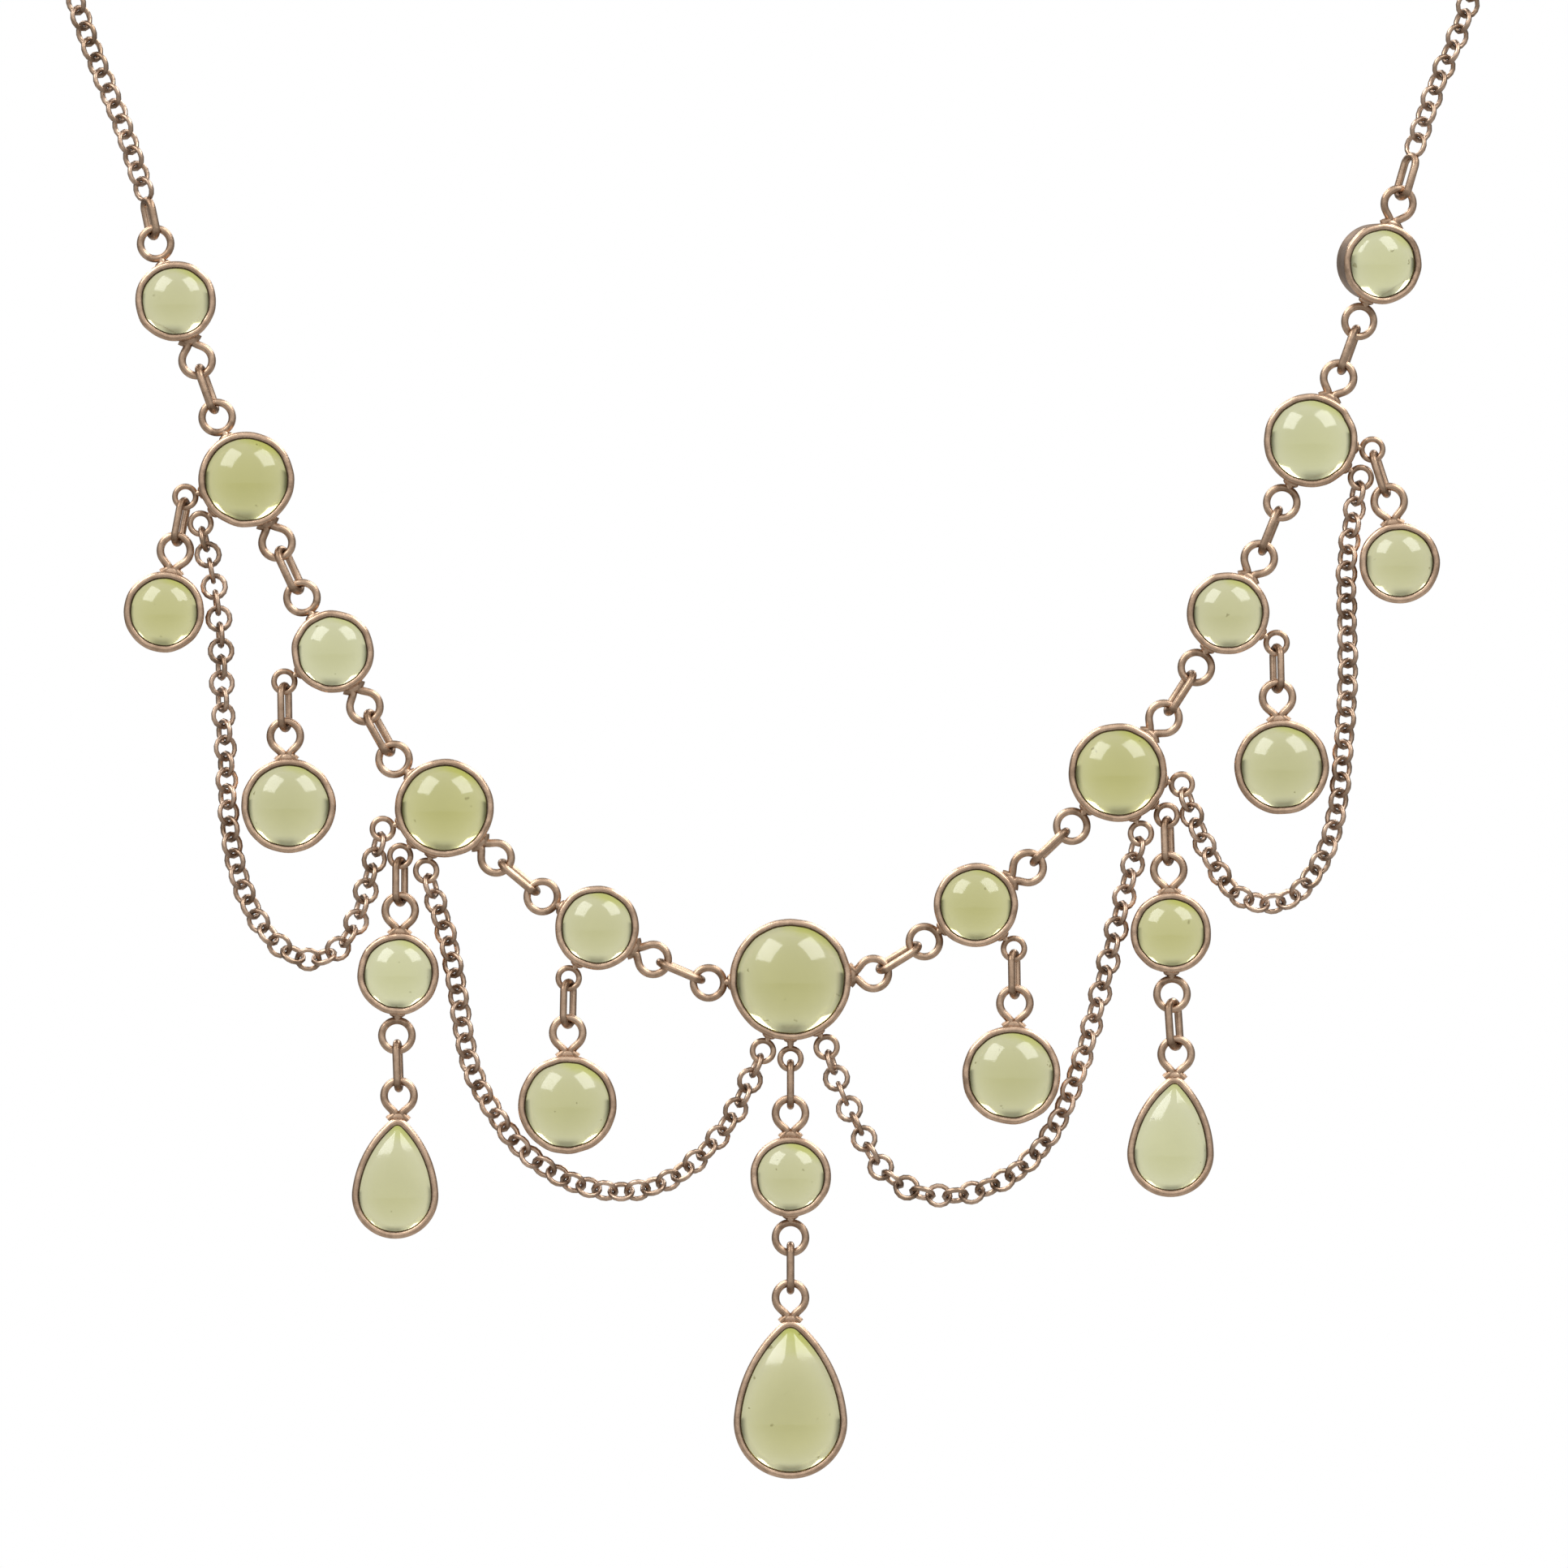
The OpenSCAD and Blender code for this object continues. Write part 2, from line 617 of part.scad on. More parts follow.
// A smooth line through chosen points, as a list of close points.
function bent(p, t) = 0.5 * (
  2 * p[1] + (p[2] - p[0]) * t
  + (2 * p[0] - 5 * p[1] + 4 * p[2] - p[3]) * t * t
  + (3 * p[1] - p[0] - 3 * p[2] + p[3]) * t * t * t
);
function smooth(pts) = let (n = len(pts)) concat(
  [for (i = [0:n - 2], k = [0:route_steps - 1])
    let (
      before = i > 0 ? pts[i - 1] : 2 * pts[0] - pts[1],
      after = i < n - 2 ? pts[i + 2] : 2 * pts[n - 1] - pts[n - 2]
    )
    bent([before, pts[i], pts[i + 1], after], k / route_steps)],
  [pts[n - 1]]
);
function lengths(pts, i = 0, sum = 0) = i == len(pts) - 1
  ? [sum]
  : concat([sum], lengths(pts, i + 1, sum + norm(pts[i + 1] - pts[i])));
// Place and direction at a distance along a line of close points.
function at_length(pts, sums, s) = let (
    i = max([for (k = [0:len(sums) - 2]) if (sums[k] <= s) k]),
    t = (s - sums[i]) / (sums[i + 1] - sums[i])
  )
  [lerp(pts[i], pts[i + 1], t), (pts[i + 1] - pts[i]) / (sums[i + 1] - sums[i])];

// The four swags, from the left to the right, each from its first eye to its last.
centre_swag_eye = [for (a = centre_swag_eyes) side_eye(centre_at, centre_d, a)];
swag_ends = [
  [row_eye(0, 4, OUTER_EYE), row_eye(0, 2, OUTER_EYE)],
  [row_eye(0, 2, INNER_EYE), centre_swag_eye[0]],
  [centre_swag_eye[1], row_eye(1, 2, INNER_EYE)],
  [row_eye(1, 2, OUTER_EYE), row_eye(1, 4, OUTER_EYE)]
];
chain_r = (chain_d - chain_wire) / 2;
chain_pitch = chain_d - 2 * chain_wire - chain_gap;
in_chain_eye = hold(side_r, side_wire, chain_wire);

function swag_line(w) = let (a = swag_ends[w][0], way = swag_ends[w][1] - a, off = [way.y, -way.x])
  smooth(concat([a], [for (p = swag_routes[w][ROUTE]) a + way * p.x + off * p.y], [a + way]));

// The slow roll of a chain: it starts and ends at the given turns, and is at half a quarter in between.
function link_roll(roll, k, count) = let (end = roll[1] - 90 * (count % 2), mid = count % 2 ? -45 : 45)
  lerp(roll[0], end, k / count) + (mid - (roll[0] + end) / 2) * sqrt(sin(180 * k / count));

// A chain of round links, each turned a quarter against the last, between two eyes.
module swag(w) {
  line = swag_line(w);
  sums = lengths(line);
  first = chain_r + in_chain_eye;
  free = sums[len(sums) - 1] - 2 * first;
  count = ceil(free / chain_pitch);
  roll = swag_routes[w][ROLL];
  color(CHAIN_GOLD)
    for (k = [0:count]) {
      here = at_length(line, sums, first + free * k / count);
      translate([here[0].x, -front_reach, here[0].y])
        rotate([0, -deg(here[1]), 0])
          rotate([90 * (k % 2) + link_roll(roll, k, count), 0, 0])
            ring(chain_r, chain_wire);
    }
}

// The neck chain, drawn as the smooth cord that its links fill.
clasp_eye_r = 0.95;
clasp_eye_wire = 0.45;
clasp_at = [0, clasp_d / 2, 0];
clasp_eye_x = clasp_l / 2 + clasp_eye_r;
clasp_eye_end = clasp_eye_x + clasp_eye_r + clasp_eye_wire / 2;
function neck_front(s) =
  let (p = end_link_far(s) + outward(s, end_slopes[s]) * (row_link_wire / 2 + tube_gap))
  [p.x, -front_reach, p.y];
function neck_back(s) = clasp_at + [side_sign(s) * (clasp_eye_end + tube_gap), 0, 0];
function neck_line(s) = let (f = neck_front(s), b = neck_back(s))
  smooth([for (p = neck_routes[s]) [for (k = [0:2]) lerp(b[k], f[k], p[k])]]);

module neck_chain(s) {
  line = neck_line(s);
  sums = lengths(line);
  total = sums[len(sums) - 1];
  count = ceil(total / (chain_d * tube_ring_every));
  spots = [for (k = [0:count]) at_length(line, sums, min(total * k / count, total - line_end))];
  points = [
    for (spot = spots)
      let (
        ahead = spot[1] / norm(spot[1]),
        flat = cross(ahead, [0, 0, 1]),
        across = flat / norm(flat),
        up = cross(across, ahead)
      )
      for (a = tube_turns)
        spot[0] + (across * cos(a) + up * sin(a)) * chain_d / 2
  ];
  sides = len(tube_turns);
  last = count * sides;
  color(CHAIN_GOLD)
    polyhedron(
      points = points,
      faces = concat(
        skin_faces(count + 1, sides, false),
        [[for (k = [0:sides - 1]) k], [for (k = [sides - 1:-1:0]) last + k]]
      ),
      convexity = 8
    );
}

// A plain barrel with a collar at each end and an eye for the last link of each side.
clasp_collar_l = 0.7;
clasp_collar_d = clasp_d * 0.7;
module clasp() {
  color(GOLD)
    translate(clasp_at) {
      rotate([0, 90, 0]) {
        cylinder(d = clasp_d, h = clasp_l - 2 * clasp_collar_l, center = true, $fn = FINE);
        cylinder(d = clasp_collar_d, h = clasp_l, center = true, $fn = FINE);
      }
      for (m = [-1, 1])
        translate([m * clasp_eye_x, 0, 0])
          ring(clasp_eye_r, clasp_eye_wire);
    }
}

for (s = [0, 1])
  for (i = ROW) {
    row_setting(s, i);
    row_stone(s, i);
  }
setting_centre();
round_stone(centre_at, centre_d);  // stone_centre
for (s = [0, 1])
  for (i = DROP) {
    drop_setting(s, i);
    drop_stone(s, i);
  }
for (s = [0, 1]) {
  side_pear_setting(s);
  side_pear_stone(s);
}
drop_setting_centre();
round_stone(centre_drop_at, centre_drop_d);  // drop_stone_centre
pear_setting(centre_pear_at, big_pear_r, 0);  // pear_setting_centre
pear_stone(centre_pear_at, big_pear_r, 0);  // pear_stone_centre
row_links();
drop_links();
drop_link_centre();
pear_link_centre();
end_links();
swag(0);  // outer_swag_left
swag(1);  // inner_swag_left
swag(2);  // inner_swag_right
swag(3);  // outer_swag_right
neck_chain(0);  // neck_chain_left
neck_chain(1);  // neck_chain_right
clasp();
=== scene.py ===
import math

import bmesh
import bpy
import numpy as np
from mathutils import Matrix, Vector, noise


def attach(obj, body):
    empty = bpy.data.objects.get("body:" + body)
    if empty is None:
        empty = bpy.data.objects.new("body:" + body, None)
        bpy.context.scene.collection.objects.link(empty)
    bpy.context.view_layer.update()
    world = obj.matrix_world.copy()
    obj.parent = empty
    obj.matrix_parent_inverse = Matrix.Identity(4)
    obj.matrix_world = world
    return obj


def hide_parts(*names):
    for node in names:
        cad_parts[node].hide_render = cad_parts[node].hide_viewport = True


# Festoon necklace: eleven round cabochons in open collets, nine drops, four chain swags and a cable chain.
# Lengths are millimetres until a mesh is made, and angles are degrees. Left is -X, as seen from the front.

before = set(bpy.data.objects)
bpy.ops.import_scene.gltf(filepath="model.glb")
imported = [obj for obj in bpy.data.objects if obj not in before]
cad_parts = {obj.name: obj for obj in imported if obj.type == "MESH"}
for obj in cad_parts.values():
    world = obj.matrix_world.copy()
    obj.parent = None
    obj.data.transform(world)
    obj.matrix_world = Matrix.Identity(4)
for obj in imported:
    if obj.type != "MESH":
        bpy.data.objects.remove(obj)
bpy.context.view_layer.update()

MM = 0.001

# Sizes of the necklace
FRONT_DROP, FRONT_REACH = 97.9, 86
SMALL_D, MEDIUM_D, CENTRE_D = 6.1, 7.15, 9
BIG_PEAR_R, SMALL_PEAR_R = 4.2, 3.2
COLLET_H, RIM_W, WALL, TAPER, LEDGE_W, LEDGE_H = 2.7, 0.56, 0.42, 0.15, 0.4, 0.5
DOME_SHARE, PEAR_DOME_SHARE, STONE_GAP = 0.54, 0.5, 0.04
RING_WIRE, RING_R, LOOP_WIRE, LOOP_R, SIDE_WIRE, SIDE_R = 0.52, 1.12, 0.54, 1.11, 0.4, 0.77
RING_REACH, LOOP_REACH, SIDE_REACH = 1.56, 1.64, 1.18
ROW_LINK_L, DROP_LINK_L, LINK_WIDTH, ROW_LINK_WIRE, DROP_LINK_WIRE, LINK_GAP = 3.95, 3.75, 2.05, 0.54, 0.5, 0.06
CHAIN_D, CHAIN_WIRE, CHAIN_GAP = 2.05, 0.36, 0.1
END_LINK_LENGTHS, END_SLOPES, END_TURNS = (3.3, 3.7), (78, 74), (25, 30)
CLASP_L, CLASP_D, CLASP_COLLAR_L, CLASP_EYE_R, CLASP_EYE_WIRE = 9, 4, 0.7, 0.95, 0.45
TUBE_GAP, EYE_Z = 0.25, 0.1

RIM_R = RIM_W / 2
RIM_Z = COLLET_H / 2 - RIM_R
LEDGE_Z = LEDGE_H - COLLET_H / 2

# The row, from the centre outwards: outer diameter, slope, slope of the link before it, turn about its slope,
# and the places of the eyes that hold a drop, the inner swag and the outer swag
SIZE, AXIS, LINK, TURN, DROP_EYE, INNER_EYE, OUTER_EYE = range(7)
ROWS = (
    ((SMALL_D * 1.02, 29.5, 23, 0, 240.5, None, None),
     (MEDIUM_D * 1.02, 44, 40, 0, 227, 253.5, 198.5),
     (SMALL_D, 60, 61, 0, 211.5, None, None),
     (MEDIUM_D * 0.99, 64.5, 65.5, 0, 195.5, None, 223.5),
     (SMALL_D * 0.98, 70.5, 70.5, 0, None, None, None)),
    ((SMALL_D * 1.02, 35.5, 32, 0, 311, None, None),
     (MEDIUM_D * 1.02, 49.5, 43.5, 0, 319, 291, 349.5),
     (SMALL_D, 60, 57.5, 0, 329, None, None),
     (MEDIUM_D * 0.97, 65.5, 68, 0, 352, None, 324),
     (SMALL_D * 0.98, 71.5, 70, 15, None, None, None)))
# How far each link before a row setting is turned about its length
ROW_LINK_TURNS = ((-5, -12, -24, -26, -12), (17, -8, 15, -10, -12))
CENTRE_SLOPES, CENTRE_DROP_EYE, CENTRE_SWAG_EYES, CENTRE_EYE_EXTRA = (-2.5, 4), 270, (249, 298), 0.2

# The side drops: outer diameter, lean of the link, lean of the setting, turn of the link about its length
LINK_LEAN, LEAN, LINK_TURN = 1, 2, 3
DROPS = (
    ((MEDIUM_D * 1.02, -1, 0, 27), (SMALL_D * 0.99, 0, -1.5, 24), (MEDIUM_D * 0.98, 1, 3, 20),
     (SMALL_D * 0.98, -10.5, -10, 18)),
    ((MEDIUM_D * 1.02, 1, -3, 17), (SMALL_D * 0.98, 2, 1.5, 20), (MEDIUM_D * 0.98, 1, 3, -20),
     (SMALL_D * 0.98, 18, 9, 15)))
PEAR_DROP, PEARS = 2, ((2, -2, 6), (4, -3.5, 31))

PEAR_SIDE, PEAR_TIP, PEAR_SHOULDER = 2.5, 0.3, 5

# Chain routes: shares of the way between a swag's two eyes, along it and off it, then the roll at each end
SWAG_ROUTES = (
    (((0.13, 0.042), (0.28, 0.104), (0.44, 0.192), (0.59, 0.27), (0.75, 0.355), (0.89, 0.411), (1.03, 0.433),
      (1.14, 0.415), (1.21, 0.365), (1.225, 0.285), (1.19, 0.204), (1.122, 0.127), (1.05, 0.052)), (10, 25)),
    (((0.067, 0.066), (0.143, 0.142), (0.224, 0.243), (0.287, 0.328), (0.36, 0.41), (0.466, 0.479),
      (0.568, 0.524), (0.69, 0.54), (0.8, 0.52), (0.89, 0.47), (0.96, 0.385), (1, 0.265), (1.01, 0.155)), (25, 10)),
    (((-0.03, 0.105), (-0.05, 0.23), (-0.06, 0.34), (-0.03, 0.43), (0.04, 0.5), (0.13, 0.54), (0.25, 0.55),
      (0.38, 0.51), (0.53, 0.41), (0.67, 0.292), (0.8, 0.176), (0.9, 0.087)), (10, 25)),
    (((-0.072, 0.083), (-0.142, 0.184), (-0.188, 0.28), (-0.17, 0.375), (-0.1, 0.435), (0.04, 0.445),
      (0.18, 0.405), (0.32, 0.34), (0.49, 0.255), (0.64, 0.165), (0.76, 0.094), (0.89, 0.038)), (25, 25)))
# The neck chain's points are shares of the width, depth and height between its front and its clasp end
NECK_ROUTES = (
    ((1, 1, 1), (1.042, 1, 0.87), (1.1, 1, 0.72), (1.155, 1, 0.54), (1.195, 0.985, 0.36), (1.222, 0.94, 0.2),
     (1.23, 0.82, 0.1), (1.19, 0.64, 0.045), (1.07, 0.43, 0.02), (0.855, 0.24, 0.01), (0.56, 0.09, 0),
     (0.25, 0.015, 0), (0, 0, 0)),
    ((1, 1, 1), (1.042, 1, 0.87), (1.085, 1, 0.76), (1.13, 1, 0.6), (1.175, 0.985, 0.4), (1.205, 0.94, 0.21),
     (1.215, 0.82, 0.1), (1.185, 0.64, 0.045), (1.07, 0.43, 0.02), (0.855, 0.24, 0.01), (0.56, 0.09, 0),
     (0.25, 0.015, 0), (0, 0, 0)))
ROUTE_STEPS = 8

SIDES = ("left", "right")
SIGN = (-1, 1)


# ---- where each piece sits, in the plane of the festoon ----

def direction(angle):
    return np.array((math.cos(math.radians(angle)), math.sin(math.radians(angle))))


def outward(s, slope):
    return direction(slope) * (SIGN[s], 1)


def down(lean):
    return direction(lean - 90)


def hold(eye_r, eye_wire, link_wire):
    """Distance from an eye's middle to the wire of a link that hangs in it."""
    return eye_r - (eye_wire + link_wire) / 2 - LINK_GAP


IN_RING = hold(RING_R, RING_WIRE, ROW_LINK_WIRE)
IN_LOOP = hold(LOOP_R, LOOP_WIRE, ROW_LINK_WIRE)
IN_SIDE = hold(SIDE_R, SIDE_WIRE, DROP_LINK_WIRE)
ROW_SPAN = ROW_LINK_L - ROW_LINK_WIRE + IN_RING + IN_LOOP
DROP_SPAN = DROP_LINK_L - DROP_LINK_WIRE + IN_SIDE + hold(LOOP_R, LOOP_WIRE, DROP_LINK_WIRE)
OUTER_REACH, INNER_REACH = (RING_REACH, LOOP_REACH), (LOOP_REACH, RING_REACH)


def side_eye(at, size, angle, extra=0.0):
    return at + direction(angle) * (size / 2 + SIDE_REACH + extra)


def lay_out_row():
    """Places of the row's settings and of the eyes at their outer and inner ends."""
    at, outer, inner = {}, {}, {}
    for s in (0, 1):
        at[s, 0] = np.array((0, -FRONT_DROP))
        outer[s, 0] = at[s, 0] + outward(s, CENTRE_SLOPES[s]) * (CENTRE_D / 2 + OUTER_REACH[s])
        for i, row in enumerate(ROWS[s], 1):
            inner[s, i] = outer[s, i - 1] + outward(s, row[LINK]) * ROW_SPAN
            at[s, i] = inner[s, i] + outward(s, row[AXIS]) * (row[SIZE] / 2 + INNER_REACH[s])
            outer[s, i] = at[s, i] + outward(s, row[AXIS]) * (row[SIZE] / 2 + OUTER_REACH[s])
    return at, outer, inner


row_at, row_outer, row_inner = lay_out_row()


def row_eye(s, i, column):
    return side_eye(row_at[s, i], ROWS[s][i - 1][SIZE], ROWS[s][i - 1][column])


def pear_arc(r):
    return r * PEAR_SIDE


def tip_radius(r, inset):
    return max(r * PEAR_TIP - inset, 0.05)


def tip_turn(r, inset):
    reach = (pear_arc(r) - r) * math.cos(math.radians(PEAR_SHOULDER))
    return math.degrees(math.acos(reach / (pear_arc(r) - inset - tip_radius(r, inset))))


def tip_centre(r, inset):
    rise = (pear_arc(r) - inset - tip_radius(r, inset)) * math.sin(math.radians(tip_turn(r, inset)))
    return direction(PEAR_SHOULDER)[1] * (r - pear_arc(r)) + rise


def pear_top(r):
    return tip_centre(r, 0) + tip_radius(r, 0)


drop_loop, drop_at, drop_ring, pear_loop, pear_at = {}, {}, {}, {}, {}
for s in (0, 1):
    for i, drop in enumerate(DROPS[s], 1):
        drop_loop[s, i] = row_eye(s, i, DROP_EYE) + down(drop[LINK_LEAN]) * DROP_SPAN
        drop_at[s, i] = drop_loop[s, i] + down(drop[LEAN]) * (LOOP_REACH + drop[SIZE] / 2)
        drop_ring[s, i] = drop_at[s, i] + down(drop[LEAN]) * (RING_REACH + drop[SIZE] / 2)
    pear_loop[s] = drop_ring[s, PEAR_DROP] + down(PEARS[s][0]) * ROW_SPAN
    pear_at[s] = pear_loop[s] + down(PEARS[s][1]) * (LOOP_REACH + pear_top(SMALL_PEAR_R))
centre_at = row_at[0, 0]
CENTRE_DROP_D = SMALL_D * 0.98
centre_eye = side_eye(centre_at, CENTRE_D, CENTRE_DROP_EYE, CENTRE_EYE_EXTRA)
centre_drop_loop = centre_eye + down(0) * DROP_SPAN
centre_drop_at = centre_drop_loop + down(0) * (LOOP_REACH + CENTRE_DROP_D / 2)
centre_drop_ring = centre_drop_at + down(0) * (RING_REACH + CENTRE_DROP_D / 2)
centre_pear_loop = centre_drop_ring + down(0) * ROW_SPAN
centre_pear_at = centre_pear_loop + down(0) * (LOOP_REACH + pear_top(BIG_PEAR_R))


def in_space(at):
    """A place in the plane of the festoon, as a point in space."""
    return Vector((at[0], -FRONT_REACH, at[1]))


# ---- finishes ----

def new_material(name):
    material = bpy.data.materials.new(name)
    material.use_nodes = True
    tree = material.node_tree
    tree.nodes.clear()
    return material, tree


def set_or_link(tree, socket, value):
    if isinstance(value, bpy.types.NodeSocket):
        tree.links.new(value, socket)
    else:
        socket.default_value = value


def add_node(tree, kind, settings=None, **inputs):
    """A node with its settings and inputs. An input is a value or another node's socket."""
    node = tree.nodes.new(kind)
    for key, value in (settings or {}).items():
        setattr(node, key, value)
    for key, value in inputs.items():
        name = key.replace("_", " ").strip()
        socket = node.inputs[int(name[1:])] if name[0] == "i" and name[1:].isdigit() else node.inputs[name]
        set_or_link(tree, socket, value)
    return node


def colour_ramp(tree, factor, stops):
    ramp = add_node(tree, "ShaderNodeValToRGB", Fac=factor)
    while len(ramp.color_ramp.elements) < len(stops):
        ramp.color_ramp.elements.new(0.5)
    for element, (place, colour) in zip(ramp.color_ramp.elements, stops):
        element.position = place
        element.color = (*colour, 1)
    return ramp.outputs["Color"]


def mix_colour(tree, kind, factor, a, b):
    node = add_node(tree, "ShaderNodeMix", {"data_type": "RGBA", "blend_type": kind})
    for k, value in ((0, factor), (6, a), (7, b)):
        set_or_link(tree, node.inputs[k], (*value, 1) if isinstance(value, tuple) else value)
    return node.outputs[2]


def mix_value(tree, factor, a, b):
    node = add_node(tree, "ShaderNodeMix", {"data_type": "FLOAT"})
    for k, value in ((0, factor), (2, a), (3, b)):
        set_or_link(tree, node.inputs[k], value)
    return node.outputs[0]


def worn_gold(name, bright, deep, tarnish_and_shade, grain):
    """Rose gold with a cloudy tone, darkened where its stored amount is high: tarnished on the settings, and on the
    links partly painted shade where their neighbours pass through. It has fine wear marks.
    """
    material, tree = new_material(name)
    place = add_node(tree, "ShaderNodeTexCoord").outputs["Object"]
    cloud = add_node(tree, "ShaderNodeTexNoise", Vector=place, Scale=420, Detail=4, Roughness=0.6)
    tone = colour_ramp(tree, cloud.outputs["Fac"], ((0.34, deep), (0.62, bright)))
    soil_and_shade = add_node(tree, "ShaderNodeAttribute", {"attribute_name": "soil_and_shade"}).outputs["Fac"]
    spots = add_node(tree, "ShaderNodeTexNoise", Vector=place, Scale=1900, Detail=3, Roughness=0.65)
    soiled = add_node(tree, "ShaderNodeMath", {"operation": "MULTIPLY_ADD"}, i0=spots.outputs["Fac"], i1=0.9, i2=-0.4)
    amount = add_node(tree, "ShaderNodeMath", {"operation": "ADD", "use_clamp": True}, i0=soil_and_shade, i1=soiled.outputs[0])
    colour = mix_colour(tree, "MIX", amount.outputs[0], tone, tarnish_and_shade)
    rough = add_node(tree, "ShaderNodeMapRange", i0=amount.outputs[0], i1=0.0, i2=1.0, i3=0.24, i4=0.5)
    marks = add_node(tree, "ShaderNodeTexNoise", Vector=place, Scale=grain, Detail=3, Roughness=0.6)
    dents = add_node(tree, "ShaderNodeTexNoise", Vector=place, Scale=900, Detail=2, Roughness=0.5)
    height = add_node(tree, "ShaderNodeMath", {"operation": "MULTIPLY_ADD"},
                      i0=dents.outputs["Fac"], i1=2.0, i2=marks.outputs["Fac"])
    bump = add_node(tree, "ShaderNodeBump", Height=height.outputs[0], Strength=0.22, Distance=0.00004)
    skin = add_node(tree, "ShaderNodeBsdfPrincipled", Base_Color=colour, Roughness=rough.outputs[0],
                    Normal=bump.outputs[0], Metallic=1.0)
    out = add_node(tree, "ShaderNodeOutputMaterial")
    tree.links.new(skin.outputs[0], out.inputs["Surface"])
    return material


# A stone's painted upper shade, greener and darker, begins and ends at these shares of its half width, measured up
# and a little to the right.
UPPER_SHADE_FROM, UPPER_SHADE_TO, UPPER_SHADE_TO_RIGHT, UPPER_SHADE_WANDER = 0.97, 1.3, 0.42, 0.5
# The painted olive edge shade begins and ends at these shares of a stone's radius, and is full where the stone faces
# sideways.
EDGE_FROM, EDGE_TO, EDGE_SIDE_FROM, EDGE_SIDE_TO, EDGE_LEAST = 0.9, 0.995, 0.55, 0.98, 0.3
PAINTED_EDGE_OLIVE, SPECK = (0.36, 0.38, 0.13), (0.2, 0.17, 0.05)
PERIDOT_IOR = 1.65


def peridot(name, tint, upper_shade_tint, absorbed, density):
    """A clear pale stone, deeper where it is thicker, with painted shade: greener and darker at its upper edge, and
    olive all round its edge.
    """
    material, tree = new_material(name)
    place = add_node(tree, "ShaderNodeTexCoord").outputs["Object"]
    face = add_node(tree, "ShaderNodeAttribute", {"attribute_name": "face"}).outputs["Vector"]
    across = add_node(tree, "ShaderNodeSeparateXYZ", Vector=face).outputs
    veil = add_node(tree, "ShaderNodeTexNoise", Vector=place, Scale=260, Detail=5, Roughness=0.55)
    clouded = colour_ramp(tree, veil.outputs["Fac"], ((0.35, tuple(v * 0.93 for v in tint)), (0.65, tint)))
    # Painted shade: the stone turns greener and darker towards its upper edge, a little to the right, with a
    # wandering border.
    wander = add_node(tree, "ShaderNodeMath", {"operation": "MULTIPLY_ADD"},
                      i0=veil.outputs["Fac"], i1=UPPER_SHADE_WANDER, i2=across["Y"])
    lean = add_node(tree, "ShaderNodeMath", {"operation": "MULTIPLY_ADD"},
                    i0=across["X"], i1=UPPER_SHADE_TO_RIGHT, i2=wander.outputs[0])
    painted_upper_shade = add_node(tree, "ShaderNodeMapRange", {"interpolation_type": "SMOOTHSTEP"},
                    i0=lean.outputs[0], i1=UPPER_SHADE_FROM, i2=UPPER_SHADE_TO, i3=0.0, i4=1.0).outputs[0]
    colour = mix_colour(tree, "MIX", painted_upper_shade, clouded, upper_shade_tint)
    # Painted shade: a stone's stored edge share turns it olive near its edge, darkest where it faces sideways.
    edge = add_node(tree, "ShaderNodeAttribute", {"attribute_name": "soil_and_shade"}).outputs["Fac"]
    sideways = add_node(tree, "ShaderNodeMath", {"operation": "ABSOLUTE"}, i0=across["X"]).outputs[0]
    strong = add_node(tree, "ShaderNodeMapRange",
                      i0=sideways, i1=EDGE_SIDE_FROM, i2=EDGE_SIDE_TO, i3=EDGE_LEAST, i4=1.0).outputs[0]
    edge_shade_amount = add_node(tree, "ShaderNodeMapRange", {"interpolation_type": "SMOOTHSTEP"},
                    i0=edge, i1=EDGE_FROM, i2=EDGE_TO, i3=0.0, i4=strong).outputs[0]
    colour = mix_colour(tree, "MIX", edge_shade_amount, colour, PAINTED_EDGE_OLIVE)
    specks = add_node(tree, "ShaderNodeTexNoise", Vector=place, Scale=1500, Detail=2, Roughness=0.5).outputs["Fac"]
    speck = add_node(tree, "ShaderNodeMapRange", i0=specks, i1=0.735, i2=0.76, i3=0.0, i4=0.75).outputs[0]
    colour = mix_colour(tree, "MIX", speck, colour, SPECK)
    scuffs = add_node(tree, "ShaderNodeTexNoise", Vector=place, Scale=700, Detail=3, Roughness=0.5)
    rough = add_node(tree, "ShaderNodeMapRange", i0=scuffs.outputs["Fac"], i1=0.3, i2=0.8, i3=0.1, i4=0.14)
    skin = add_node(tree, "ShaderNodeBsdfPrincipled", Base_Color=colour, Roughness=rough.outputs[0],
                    IOR=PERIDOT_IOR, Transmission_Weight=1.0)
    inside = add_node(tree, "ShaderNodeVolumeAbsorption", Color=(*absorbed, 1), Density=density)
    out = add_node(tree, "ShaderNodeOutputMaterial")
    tree.links.new(skin.outputs[0], out.inputs["Surface"])
    tree.links.new(inside.outputs[0], out.inputs["Volume"])
    return material


ROSE, ROSE_DEEP, TARNISH = (0.8, 0.575, 0.41), (0.58, 0.4, 0.275), (0.11, 0.06, 0.03)
gold = worn_gold("worn_rose_gold", ROSE, ROSE_DEEP, TARNISH, 6000)
